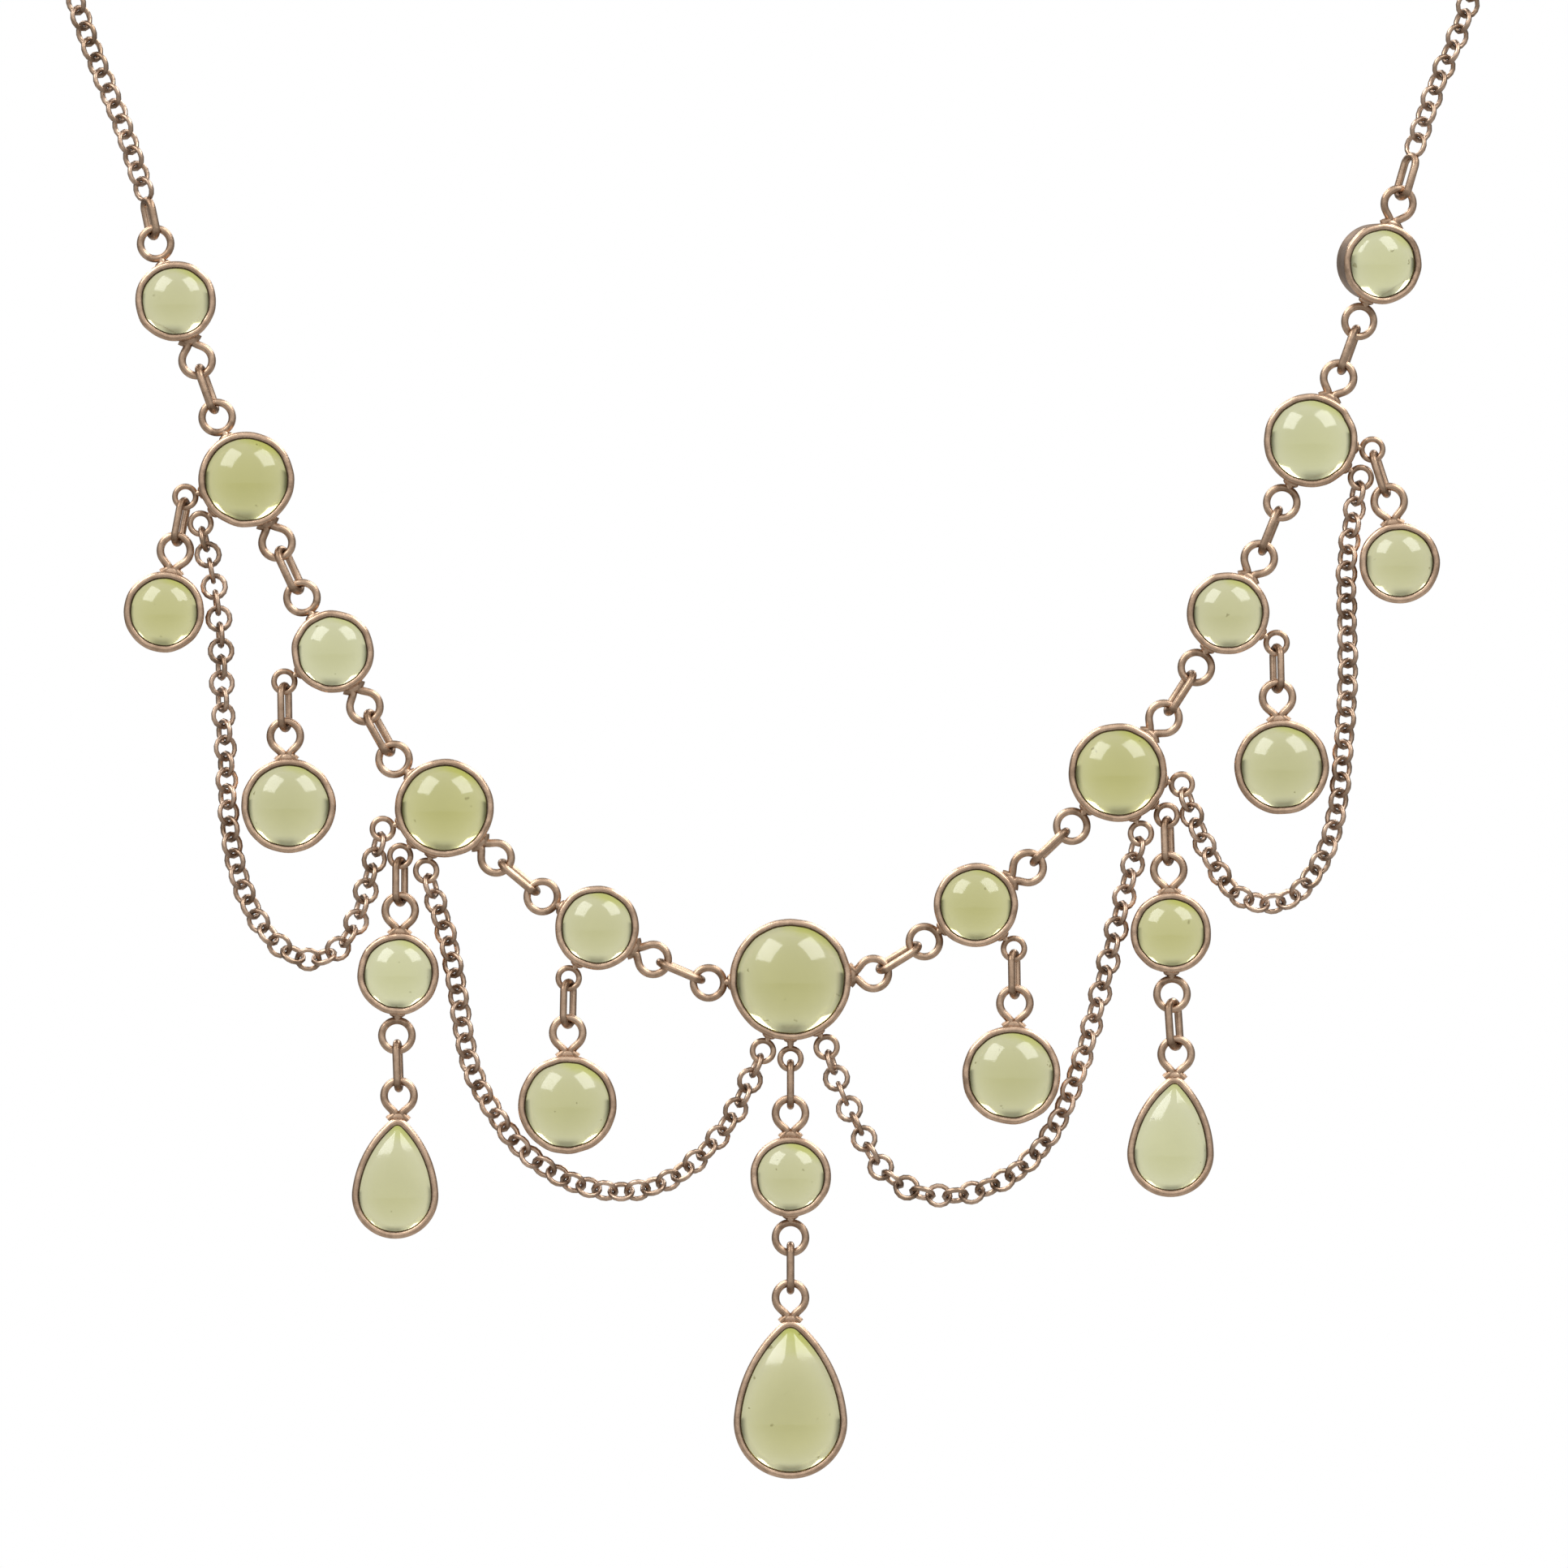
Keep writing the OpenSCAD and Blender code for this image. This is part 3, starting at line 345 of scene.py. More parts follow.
# The chain's near-black darkening is partly tarnished metal and partly painted shade where its links pass through
# each other.
chain_gold = worn_gold("worn_chain_gold", (0.82, 0.6, 0.45), (0.46, 0.315, 0.21), (0.05, 0.028, 0.017), 9000)
stones = {
    "pale": peridot("peridot_pale", (0.98, 0.98, 0.93), (0.86, 0.9, 0.36), (0.66, 0.66, 0.28), 470),
    "mid": peridot("peridot_mid", (0.98, 0.97, 0.93), (0.82, 0.88, 0.26), (0.64, 0.635, 0.24), 500),
    "deep": peridot("peridot_deep", (0.98, 0.97, 0.95), (0.8, 0.86, 0.2), (0.65, 0.64, 0.22), 510),
    "rich": peridot("peridot_rich", (0.98, 0.97, 0.94), (0.8, 0.86, 0.2), (0.667, 0.658, 0.2), 600),
}


# ---- meshes of the settings and stones ----

# Wires have kept more tarnish than the polished rims.
WIRE_SOIL = 0.12


class Form:
    """Closed skins, in the frame of one setting: x and y in its face and z towards the front."""

    def __init__(self):
        self.points, self.faces, self.soil_and_shade = [], [], []

    def skin(self, rings, wrap=False, soil_and_shade=0.0, turn=None):
        """Joins equal rings into a skin, wrapped round or closed at both ends by a fan."""
        rings = np.asarray(rings, float)
        count, n, _ = rings.shape
        start = len(self.points)
        pts = rings.reshape(-1, 3)
        points_soil_and_shade = list(np.repeat(np.broadcast_to(soil_and_shade, count), n))
        if not wrap:
            pts = np.vstack([pts, rings[0].mean(0), rings[-1].mean(0)])
            points_soil_and_shade += [points_soil_and_shade[0], points_soil_and_shade[-1]]
        if turn is not None:
            pts = pts @ turn.T
        self.points.extend(map(tuple, pts))
        self.soil_and_shade.extend(points_soil_and_shade)
        for j in range(count if wrap else count - 1):
            up = ((j + 1) % count) * n
            for k in range(n):
                kk = (k + 1) % n
                self.faces.append((start + j * n + k, start + j * n + kk, start + up + kk, start + up + k))
        if not wrap:
            low, high = start + count * n, start + count * n + 1
            for k in range(n):
                kk = (k + 1) % n
                self.faces.append((start + kk, start + k, low))
                self.faces.append((start + (count - 1) * n + k, start + (count - 1) * n + kk, high))

    def wire(self, path, radii, closed=False, sides=12, soil_and_shade=0.0, turn=None):
        """A round wire along a path that lies flat at the height of the eyes."""
        path = np.asarray(path, float)
        soil_and_shade = soil_and_shade + WIRE_SOIL
        radii = np.broadcast_to(radii, len(path))
        ahead = np.roll(path, -1, 0) - np.roll(path, 1, 0)
        if not closed:
            ahead[0], ahead[-1] = path[1] - path[0], path[-1] - path[-2]
        ahead /= np.linalg.norm(ahead, axis=1)[:, None]
        across = np.stack([-ahead[:, 1], ahead[:, 0]], 1)
        a = np.arange(sides) * 2 * math.pi / sides
        rings = np.zeros((len(path), sides, 3))
        rings[:, :, :2] = path[:, None] + across[:, None] * (np.cos(a)[None, :, None] * radii[:, None, None])
        rings[:, :, 2] = EYE_Z + np.sin(a)[None] * radii[:, None]
        self.skin(rings, closed, soil_and_shade, turn)

    def mound(self, x, sizes, soil_and_shade=0.55, turn=None):
        """Solder that has run round the foot of an eye."""
        lat = np.linspace(-90, 90, 12)[1:-1]
        a = np.arange(20) * 2 * math.pi / 20
        c, t = np.cos(np.radians(lat))[:, None], np.sin(np.radians(lat))[:, None]
        rings = np.stack([x + t * sizes[0] + 0 * a, c * np.cos(a) * sizes[1], EYE_Z + c * np.sin(a) * sizes[2]], 2)
        self.skin(rings, False, soil_and_shade, turn)


def turned(angle):
    c, t = direction(angle)
    return np.array(((c, -t, 0), (t, c, 0), (0, 0, 1)))


def add_piece(name, form, at, finish, body, node, lean=0.0, tilt=0.0, tilt_axis=0.0, sharp=38):
    """Turns a form into a piece in its place, standing for its CAD node."""
    pts = np.array(form.points) @ turned(lean).T
    face = pts * (1, 1, 0) / np.abs(pts[:, :2]).max()
    if tilt:
        pts = (pts - (0, 0, EYE_Z)) @ turned(-tilt_axis).T
        c, t = direction(tilt)
        pts = pts @ np.array(((1, 0, 0), (0, c, -t), (0, t, c))).T @ turned(tilt_axis).T + (0, 0, EYE_Z)
    x, y, z = pts.T
    world = np.stack([at[0] + x, -FRONT_REACH - (z - EYE_Z), at[1] + y], 1) * MM
    return add_mesh(name, world, form.faces, form.soil_and_shade, finish, body, node, sharp, face)


def add_mesh(name, world, faces, soil_and_shade, finish, body, node, sharp=38, face=None):
    """A piece of given points and faces, with its amounts of tarnished darkening and painted shade and its place
    across its face kept as attributes.
    """
    mesh = bpy.data.meshes.new(name)
    mesh.from_pydata([tuple(p) for p in world], [], faces)
    build = bmesh.new()
    build.from_mesh(mesh)
    bmesh.ops.recalc_face_normals(build, faces=build.faces)
    build.to_mesh(mesh)
    build.free()
    mesh.attributes.new("soil_and_shade", "FLOAT", "POINT").data.foreach_set("value", np.asarray(soil_and_shade, np.float32))
    if face is not None:
        mesh.attributes.new("face", "FLOAT_VECTOR", "POINT").data.foreach_set(
            "vector", np.asarray(face, np.float32).reshape(-1))
    mesh.shade_smooth()
    mesh.set_sharp_from_angle(angle=math.radians(sharp))
    mesh.materials.append(finish)
    piece = bpy.data.objects.new(name, mesh)
    bpy.context.collection.objects.link(piece)
    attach(piece, body)
    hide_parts(node)
    return piece


def collet_section(steps=12):
    """Half a collet's section, as insets from its outer edge and heights, with how soiled each point is."""
    turn = np.radians(np.linspace(-25, 180, steps))
    rim = [(RIM_R - RIM_R * math.cos(a), RIM_Z + RIM_R * math.sin(a)) for a in turn]
    low = -COLLET_H / 2
    ends = [(RIM_W * 0.96, RIM_Z - RIM_R * 0.35), (WALL + 0.02, RIM_Z - RIM_R), (WALL, RIM_Z - RIM_R * 2.2),
            (WALL, LEDGE_Z), (WALL + LEDGE_W, LEDGE_Z), (WALL + LEDGE_W, low + 0.05), (WALL + LEDGE_W - 0.05, low),
            (TAPER + 0.07, low), (TAPER, low + 0.07), (TAPER * 0.5, (low + RIM_Z) / 2)]
    soil_and_shade = [0.1 + 0.75 * max(0, (k - steps * 0.62) / (steps * 0.38)) for k in range(steps)]
    return rim + ends, soil_and_shade + [0.95, 0.8, 0.4, 0.25, 0.25, 0.3, 0.2, 0.15, 0.25, 0.3]


def uneven(place, amount, scale=0.45):
    """A slow hand-made wander, the same at each place every time."""
    return noise.noise(Vector(place) * scale) * amount


def round_collet(form, d, at, segments=72):
    section, soil_and_shade = collet_section()
    a = np.arange(segments) * 2 * math.pi / segments
    rings = []
    for inset, z in section:
        top = max(0.0, z / RIM_Z)
        ring = []
        for t in a:
            spot = (at[0] + math.cos(t) * d, math.sin(t) * d, at[1])
            r = d / 2 - inset + uneven(spot, 0.05) * top
            ring.append((r * math.cos(t), r * math.sin(t), z + uneven(spot, 0.05, 0.7) * top))
        rings.append(ring)
    form.skin(rings, True, np.array(soil_and_shade))


# Solder mounds at the foot of a ring eye and of a loop eye: half their length, width and height
RING_SOLDER, LOOP_SOLDER = (0.3, 0.6, 0.4), (0.42, 0.86, 0.38)
# The drawn wires are this much fuller than the solids'.
FULLER, FULLER_CHAIN = 1.07, 1.1


def ring_eye(form, angle, edge, reach=RING_REACH, r=RING_R, wire=RING_WIRE * FULLER, size=1.0):
    a = np.radians(np.arange(40) * 9)
    path = np.stack([edge + reach + r * np.cos(a), r * np.sin(a)], 1)
    soil_and_shade = np.clip(0.1 + 0.3 * (np.cos(a) < -0.6), 0, 1)
    form.wire(path, wire / 2, True, soil_and_shade=soil_and_shade, turn=turned(angle))
    neck = reach - r
    foot = np.linspace(edge - WALL * 0.4, edge + neck, 8)
    flare = wire / 2 * (1 + 0.7 * ((edge + neck - foot) / (neck + WALL * 0.4)) ** 2)
    form.wire(np.stack([foot, foot * 0], 1), flare, soil_and_shade=0.1, turn=turned(angle))
    form.mound(edge - 0.05, tuple(v * size for v in RING_SOLDER), 0.25, turn=turned(angle))


# A loop eye's sides run together at this height over the rim, half this far apart, and then flare out.
LOOP_CLOSE, LOOP_NECK, LOOP_FLARE = 0.38, 0.27, ((0.2, 0.29), (0.05, 0.4), (-0.08, 0.58), (-0.2, 0.7))


def loop_eye(form, angle, edge):
    """A pointed loop eye: a round end whose two sides run together at the rim."""
    back = LOOP_REACH - LOOP_CLOSE
    away = math.hypot(back, LOOP_NECK)
    spread = math.degrees(math.acos(LOOP_R / away) + math.atan2(LOOP_NECK, back))
    middle = edge + LOOP_REACH
    bend = np.radians(np.linspace(spread - 180, 180 - spread, 30))
    arc = np.stack([middle + LOOP_R * np.cos(bend), LOOP_R * np.sin(bend)], 1)
    neck = np.array((edge + LOOP_CLOSE, LOOP_NECK))
    run_in = arc[-1] + (neck - arc[-1]) * np.array((0.35, 0.7, 1))[:, None]
    foot = np.vstack([run_in, [(edge + rise, out) for rise, out in LOOP_FLARE]])
    path = np.vstack([foot[::-1] * (1, -1), arc, foot])
    close = np.clip((path[:, 0] - edge) / 0.9, 0, 1)
    radii = LOOP_WIRE / 2 * (FULLER + 0.2 * (1 - close) ** 2)
    form.wire(path, radii, soil_and_shade=0.1 + 0.35 * (1 - close), turn=turned(angle))
    form.mound(edge + 0.02, LOOP_SOLDER, soil_and_shade=0.3, turn=turned(angle))


def round_setting(name, node, at, d, loop, ringed=None, side_eyes=(), turn=0.0, body="necklace"):
    form = Form()
    round_collet(form, d, at)
    loop_eye(form, loop, d / 2)
    if ringed is not None:
        ring_eye(form, ringed, d / 2)
    for eye in side_eyes:
        angle, extra = eye if isinstance(eye, tuple) else (eye, 0.0)
        if angle is not None:
            ring_eye(form, angle, d / 2, SIDE_REACH + extra, SIDE_R, SIDE_WIRE * FULLER, 0.85)
    add_piece(name, form, at, gold, body, node, tilt=turn, tilt_axis=loop)


def dome_radius(r, share):
    return r * (1 + share * share) / (2 * share)


def dome_middle(edge, r, share):
    return RIM_Z - math.sqrt((dome_radius(r, share) + RIM_R + STONE_GAP) ** 2 - (edge - RIM_R) ** 2)


def dome_levels(r, edge, share, steps=14):
    """Shares of the radius and heights from the seat up over the dome."""
    big, mid, seat = dome_radius(r, share), dome_middle(edge, r, share), LEDGE_Z + STONE_GAP
    turn = np.cos(np.radians(np.linspace(2, 88, steps)))
    girdle = mid + math.sqrt(max(0, big * big - r * r))
    levels = [(0.08, seat), (0.6, seat), (0.96, seat), (1, seat + 0.08), (1, (seat + girdle) / 2), (1, girdle - 0.05)]
    return levels + [(t, mid + math.sqrt(big * big - (t * r) ** 2)) for t in turn]


# A stone keeps these shares in the same attribute as the gold's darkening; they drive its painted olive edge shade.
def edge_shares(levels):
    """How near each level of a stone is to its edge. Its flat back counts as its middle."""
    return [0.0 if z <= LEDGE_Z + STONE_GAP else t for t, z in levels]


def round_stone(name, node, at, d, look, loop=0.0, turn=0.0, body="necklace", segments=64):
    r = d / 2 - WALL - STONE_GAP
    a = np.arange(segments) * 2 * math.pi / segments
    form = Form()
    levels = dome_levels(r, d / 2, DOME_SHARE)
    form.skin([[(r * t * math.cos(b), r * t * math.sin(b), z) for b in a] for t, z in levels],
              soil_and_shade=edge_shares(levels))
    add_piece(name, form, at, stones[look], body, node, tilt=turn, tilt_axis=loop, sharp=60)


def pear_outline(r, inset, steps=(30, 20, 6)):
    """A pear's outline inset by a distance: the bottom arc, the long side arcs and the small arc of the tip."""
    flank = direction(PEAR_SHOULDER) * (r - pear_arc(r))
    end = tip_turn(r, inset)
    half = [direction(-90 + (90 + PEAR_SHOULDER) * k / steps[0]) * (r - inset) for k in range(steps[0])]
    half += [flank + direction(PEAR_SHOULDER + (end - PEAR_SHOULDER) * k / steps[1]) * (pear_arc(r) - inset)
             for k in range(steps[1])]
    half += [np.array((0, tip_centre(r, inset))) + direction(end + (90 - end) * k / steps[2]) * tip_radius(r, inset)
             for k in range(steps[2] + 1)]
    return half + [p * (-1, 1) for p in half[-2:0:-1]]


def pear_setting(name, node, at, r, lean, body="necklace"):
    form = Form()
    section, soil_and_shade = collet_section()
    form.skin([[(p[0], p[1], z) for p in pear_outline(r, inset)] for inset, z in section], True, np.array(soil_and_shade))
    loop_eye(form, 90, pear_top(r))
    add_piece(name, form, at, gold, body, node, lean=lean)


def pear_stone(name, node, at, r, lean, look, body="necklace"):
    form = Form()
    inset = WALL + STONE_GAP
    girdle = pear_outline(r, inset)
    levels = dome_levels(r - inset, r, PEAR_DOME_SHARE)
    form.skin([[(p[0] * t, p[1] * t, z) for p in girdle] for t, z in levels], soil_and_shade=edge_shares(levels))
    add_piece(name, form, at, stones[look], body, node, lean=lean, sharp=60)


ROW_LOOKS = (("mid", "rich", "pale", "rich", "mid"), ("rich", "rich", "mid", "pale", "pale"))
DROP_LOOKS = (("mid", "pale", "mid", "rich"), ("mid", "rich", "mid", "mid"))
PEAR_LOOKS = ("mid", "pale")

for s, side in enumerate(SIDES):
    for i, row in enumerate(ROWS[s], 1):
        loop = SIGN[s] * row[AXIS]
        round_setting(f"collet_{side}_{i}", f"setting_{side}_{i}", row_at[s, i], row[SIZE], loop, loop + 180,
                      (row[DROP_EYE], row[INNER_EYE], row[OUTER_EYE]), row[TURN])
        round_stone(f"cabochon_{side}_{i}", f"stone_{side}_{i}", row_at[s, i], row[SIZE], ROW_LOOKS[s][i - 1],
                    loop, row[TURN])
    for i, drop in enumerate(DROPS[s], 1):
        up = 90 + drop[LEAN]
        round_setting(f"drop_collet_{side}_{i}", f"drop_setting_{side}_{i}", drop_at[s, i], drop[SIZE], up,
                      up + 180 if i == PEAR_DROP else None)
        round_stone(f"drop_cabochon_{side}_{i}", f"drop_stone_{side}_{i}", drop_at[s, i], drop[SIZE],
                    DROP_LOOKS[s][i - 1])
    pear_setting(f"pear_collet_{side}", f"pear_setting_{side}", pear_at[s], SMALL_PEAR_R, PEARS[s][1])
    pear_stone(f"pear_cabochon_{side}", f"pear_stone_{side}", pear_at[s], SMALL_PEAR_R, PEARS[s][1], PEAR_LOOKS[s])
round_setting("collet_centre", "setting_centre", centre_at, CENTRE_D, CENTRE_SLOPES[1], 180 - CENTRE_SLOPES[0],
              CENTRE_SWAG_EYES + ((CENTRE_DROP_EYE, CENTRE_EYE_EXTRA),))
round_stone("cabochon_centre", "stone_centre", centre_at, CENTRE_D, "deep")
round_setting("drop_collet_centre", "drop_setting_centre", centre_drop_at, CENTRE_DROP_D, 90, 270,
              body="centre_drop")
round_stone("drop_cabochon_centre", "drop_stone_centre", centre_drop_at, CENTRE_DROP_D, "mid", body="centre_drop")
pear_setting("pear_collet_centre", "pear_setting_centre", centre_pear_at, BIG_PEAR_R, 0, "centre_pear")
pear_stone("pear_cabochon_centre", "pear_stone_centre", centre_pear_at, BIG_PEAR_R, 0, "deep", "centre_pear")


# ---- links, laid by Geometry Nodes ----

def new_tree(name, inputs):
    """A Geometry Nodes tree with a geometry input and output and the named inputs."""
    tree = bpy.data.node_groups.new(name, "GeometryNodeTree")
    tree.interface.new_socket("Places", in_out="INPUT", socket_type="NodeSocketGeometry")
    for label, kind, value in inputs:
        socket = tree.interface.new_socket(label, in_out="INPUT", socket_type="NodeSocket" + kind)
        if value is not None:
            socket.default_value = value
    tree.interface.new_socket("Links", in_out="OUTPUT", socket_type="NodeSocketGeometry")
    return tree, tree.nodes.new("NodeGroupInput").outputs


def maths(tree, operation, *values):
    return add_node(tree, "ShaderNodeMath", {"operation": operation},
                    **{f"i{k}": v for k, v in enumerate(values)}).outputs[0]


def drawn_link(tree, given, bend_points, wire_points):
    """A closed oval of round wire, flat in X and Y, longer along X, darkened where its neighbours rub: partly
    tarnished, partly painted shade.
    """
    bend = maths(tree, "SUBTRACT", maths(tree, "MULTIPLY", given["Link width"], 0.5), given["Wire radius"])
    circle = add_node(tree, "GeometryNodeCurvePrimitiveCircle", Resolution=bend_points, Radius=bend)
    place = add_node(tree, "GeometryNodeInputPosition").outputs[0]
    split = add_node(tree, "ShaderNodeSeparateXYZ", Vector=place)
    straight = maths(tree, "MULTIPLY",
                     maths(tree, "SUBTRACT", given["Link length"], given["Link width"]), 0.5)
    shift = maths(tree, "MULTIPLY", maths(tree, "SIGN", split.outputs["X"]), straight)
    offset = add_node(tree, "ShaderNodeCombineXYZ", X=shift)
    oval = add_node(tree, "GeometryNodeSetPosition", Geometry=circle.outputs[0], Offset=offset.outputs[0])
    section = add_node(tree, "GeometryNodeCurvePrimitiveCircle", Resolution=wire_points, Radius=given["Wire radius"])
    drawn = add_node(tree, "GeometryNodeCurveToMesh", Curve=oval.outputs[0], Profile_Curve=section.outputs[0])
    reach = maths(tree, "DIVIDE", maths(tree, "ABSOLUTE", split.outputs["X"]),
                  maths(tree, "MULTIPLY", given["Link length"], 0.5))
    # Painted shade and tarnish: each link darkens near its ends, where its neighbours pass through it.
    inner = add_node(tree, "ShaderNodeMapRange", i0=reach, i1=0.45, i2=0.75, i3=0.05, i4=0.75).outputs[0]
    from_end = maths(tree, "SUBTRACT", 1.0, reach)
    hollow = add_node(tree, "ShaderNodeMapRange", i0=from_end, i1=0.06, i2=0.22, i3=0.3, i4=1.0).outputs[0]
    soil_and_shade = maths(tree, "MULTIPLY", inner, hollow)
    marked = add_node(tree, "GeometryNodeStoreNamedAttribute", {"data_type": "FLOAT", "domain": "POINT"},
                      Geometry=drawn.outputs[0], Name="soil_and_shade", Value=soil_and_shade)
    return add_node(tree, "GeometryNodeSetShadeSmooth", i0=marked.outputs[0]).outputs[0]


def vector_attribute(tree, name):
    return add_node(tree, "GeometryNodeInputNamedAttribute", {"data_type": "FLOAT_VECTOR"}, Name=name).outputs[0]


def finish_links(tree, points, link, rotation, metal):
    laid = add_node(tree, "GeometryNodeInstanceOnPoints", Points=points, Instance=link, Rotation=rotation)
    solid = add_node(tree, "GeometryNodeRealizeInstances", i0=laid.outputs[0])
    dressed = add_node(tree, "GeometryNodeSetMaterial", Geometry=solid.outputs[0], Material=metal)
    out = tree.nodes.new("NodeGroupOutput")
    tree.links.new(dressed.outputs[0], out.inputs[0])


def jump_link_tree():
    """Lays an oval link at each point, along one attribute and with its flat side along another."""
    tree, given = new_tree("jump_links", (
        ("Link length", "Float", ROW_LINK_L * MM), ("Link width", "Float", LINK_WIDTH * MM),
        ("Wire radius", "Float", ROW_LINK_WIRE / 2 * MM), ("Metal", "Material", None)))
    link = drawn_link(tree, given, 32, 12)
    rotation = add_node(tree, "FunctionNodeAxesToRotation", {"primary_axis": "X", "secondary_axis": "Y"},
                        i0=vector_attribute(tree, "along"), i1=vector_attribute(tree, "across")).outputs[0]
    finish_links(tree, given["Places"], link, rotation, given["Metal"])
    return tree


def chain_tree():
    """Lays round links evenly along a route, each a quarter turn from the last, with a slow roll from end to end."""
    tree, given = new_tree("cable_chain", (
        ("Link length", "Float", CHAIN_D * MM), ("Link width", "Float", CHAIN_D * MM),
        ("Wire radius", "Float", CHAIN_WIRE / 2 * MM), ("Link count", "Int", 30), ("First roll", "Float", 0.0),
        ("Middle roll", "Float", 0.0), ("Last roll", "Float", 0.0), ("Looseness", "Float", 0.05), ("Seed", "Int", 1),
        ("Metal", "Material", None)))
    link = drawn_link(tree, given, 14, 6)
    route = add_node(tree, "GeometryNodeMeshToCurve", i0=given["Places"])
    spaced = add_node(tree, "GeometryNodeResampleCurve", Curve=route.outputs[0], Count=given["Link count"])
    along = add_node(tree, "GeometryNodeInputTangent").outputs[0]
    lie = add_node(tree, "FunctionNodeAxesToRotation", {"primary_axis": "X", "secondary_axis": "Y"},
                   i0=along, i1=vector_attribute(tree, "across")).outputs[0]
    index = add_node(tree, "GeometryNodeInputIndex").outputs[0]
    last = maths(tree, "SUBTRACT", given["Link count"], 1.0)
    quarter = maths(tree, "MULTIPLY", maths(tree, "MODULO", index, 2.0), math.pi / 2)
    share = maths(tree, "DIVIDE", index, last)
    drift = maths(tree, "MULTIPLY", share, maths(tree, "SUBTRACT", given["Last roll"], given["First roll"]))
    halfway = maths(tree, "MULTIPLY", maths(tree, "ADD", given["First roll"], given["Last roll"]), 0.5)
    bow = maths(tree, "SQRT", maths(tree, "SINE", maths(tree, "MULTIPLY", share, math.pi)))
    slow = maths(tree, "MULTIPLY_ADD", maths(tree, "SUBTRACT", given["Middle roll"], halfway), bow, drift)
    play = add_node(tree, "FunctionNodeRandomValue", {"data_type": "FLOAT"}, Seed=given["Seed"])
    tree.links.new(maths(tree, "MULTIPLY", given["Looseness"], -1.0), play.inputs[2])
    tree.links.new(given["Looseness"], play.inputs[3])
    angle = maths(tree, "ADD", maths(tree, "ADD", quarter, given["First roll"]),
                  maths(tree, "ADD", slow, play.outputs[1]))
    roll = add_node(tree, "FunctionNodeAxisAngleToRotation", Axis=(1, 0, 0), Angle=angle).outputs[0]
    rotation = add_node(tree, "FunctionNodeRotateRotation", {"rotation_space": "LOCAL"}, i0=lie, i1=roll).outputs[0]
    finish_links(tree, spaced.outputs[0], link, rotation, given["Metal"])
    return tree


def lay(name, tree, points, vectors, edges, sizes, body, node):
    """Runs a tree on points that carry vectors, and keeps the result as one plain mesh."""
    mesh = bpy.data.meshes.new(name + "_places")
    mesh.from_pydata([tuple(Vector(p) * MM) for p in points], edges, [])
    for label, values in vectors.items():
        mesh.attributes.new(label, "FLOAT_VECTOR", "POINT").data.foreach_set(
            "vector", np.asarray([tuple(v) for v in values], np.float32).reshape(-1))
    piece = bpy.data.objects.new(name, mesh)
    bpy.context.collection.objects.link(piece)
    modifier = piece.modifiers.new("links", "NODES")
    modifier.node_group = tree
    for item in tree.interface.items_tree:
        if item.in_out == "INPUT" and item.name in sizes:
            modifier[item.identifier] = sizes[item.name]
    evaluated = piece.evaluated_get(bpy.context.evaluated_depsgraph_get())
    made = bpy.data.meshes.new_from_object(evaluated)
    piece.modifiers.clear()
    piece.data = made
    made.name = name
    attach(piece, body)
    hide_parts(node)
    return piece


jump_links, cable_chain = jump_link_tree(), chain_tree()


def link_place(a, b, length, wire, in_a, turn=0.0):
    """Middle, direction and flat side of a link between two eyes."""
    along = (b - a) / np.linalg.norm(b - a)
    ahead = Vector((along[0], 0, along[1]))
    mid = in_space(a + along * (in_a + (length - wire) / 2))
    deep, flat = Vector((0, 1, 0)), ahead.cross(Vector((0, 1, 0)))
    c, t = direction(turn)
    return mid, ahead, deep * c + flat * t


def lay_links(name, places, length, wire, body, node):
    lay(name, jump_links, [p[0] for p in places],
        {"along": [p[1] for p in places], "across": [p[2] for p in places]}, [],
        {"Link length": length * MM, "Link width": LINK_WIDTH * MM, "Wire radius": wire * FULLER / 2 * MM,
         "Metal": gold}, body, node)


def in_row(s):
    return IN_RING if s == 0 else IN_LOOP


lay_links("row_jump_links",
          [link_place(row_outer[s, i - 1], row_inner[s, i], ROW_LINK_L, ROW_LINK_WIRE, in_row(s),
                      ROW_LINK_TURNS[s][i - 1])
           for s in (0, 1) for i in range(1, 6)], ROW_LINK_L, ROW_LINK_WIRE, "necklace", "row_links")
lay_links("drop_jump_links",
          [link_place(row_eye(s, i, DROP_EYE), drop_loop[s, i], DROP_LINK_L, DROP_LINK_WIRE, IN_SIDE, drop[LINK_TURN])
           for s in (0, 1) for i, drop in enumerate(DROPS[s], 1)],
          DROP_LINK_L, DROP_LINK_WIRE, "necklace", "drop_links")
lay_links("pear_jump_links",
          [link_place(drop_ring[s, PEAR_DROP], pear_loop[s], ROW_LINK_L, ROW_LINK_WIRE, IN_RING, PEARS[s][2])
           for s in (0, 1)], ROW_LINK_L, ROW_LINK_WIRE, "necklace", "drop_links")
lay_links("centre_drop_jump_link", [link_place(centre_eye, centre_drop_loop, DROP_LINK_L, DROP_LINK_WIRE, IN_SIDE)],
          DROP_LINK_L, DROP_LINK_WIRE, "centre_drop_link", "drop_link_centre")
lay_links("centre_pear_jump_link",
          [link_place(centre_drop_ring, centre_pear_loop, ROW_LINK_L, ROW_LINK_WIRE, IN_RING)],
          ROW_LINK_L, ROW_LINK_WIRE, "centre_pear_link", "pear_link_centre")
end_far = [row_outer[s, 5] + outward(s, END_SLOPES[s]) * (in_row(s) + END_LINK_LENGTHS[s] - ROW_LINK_WIRE)
           for s in (0, 1)]
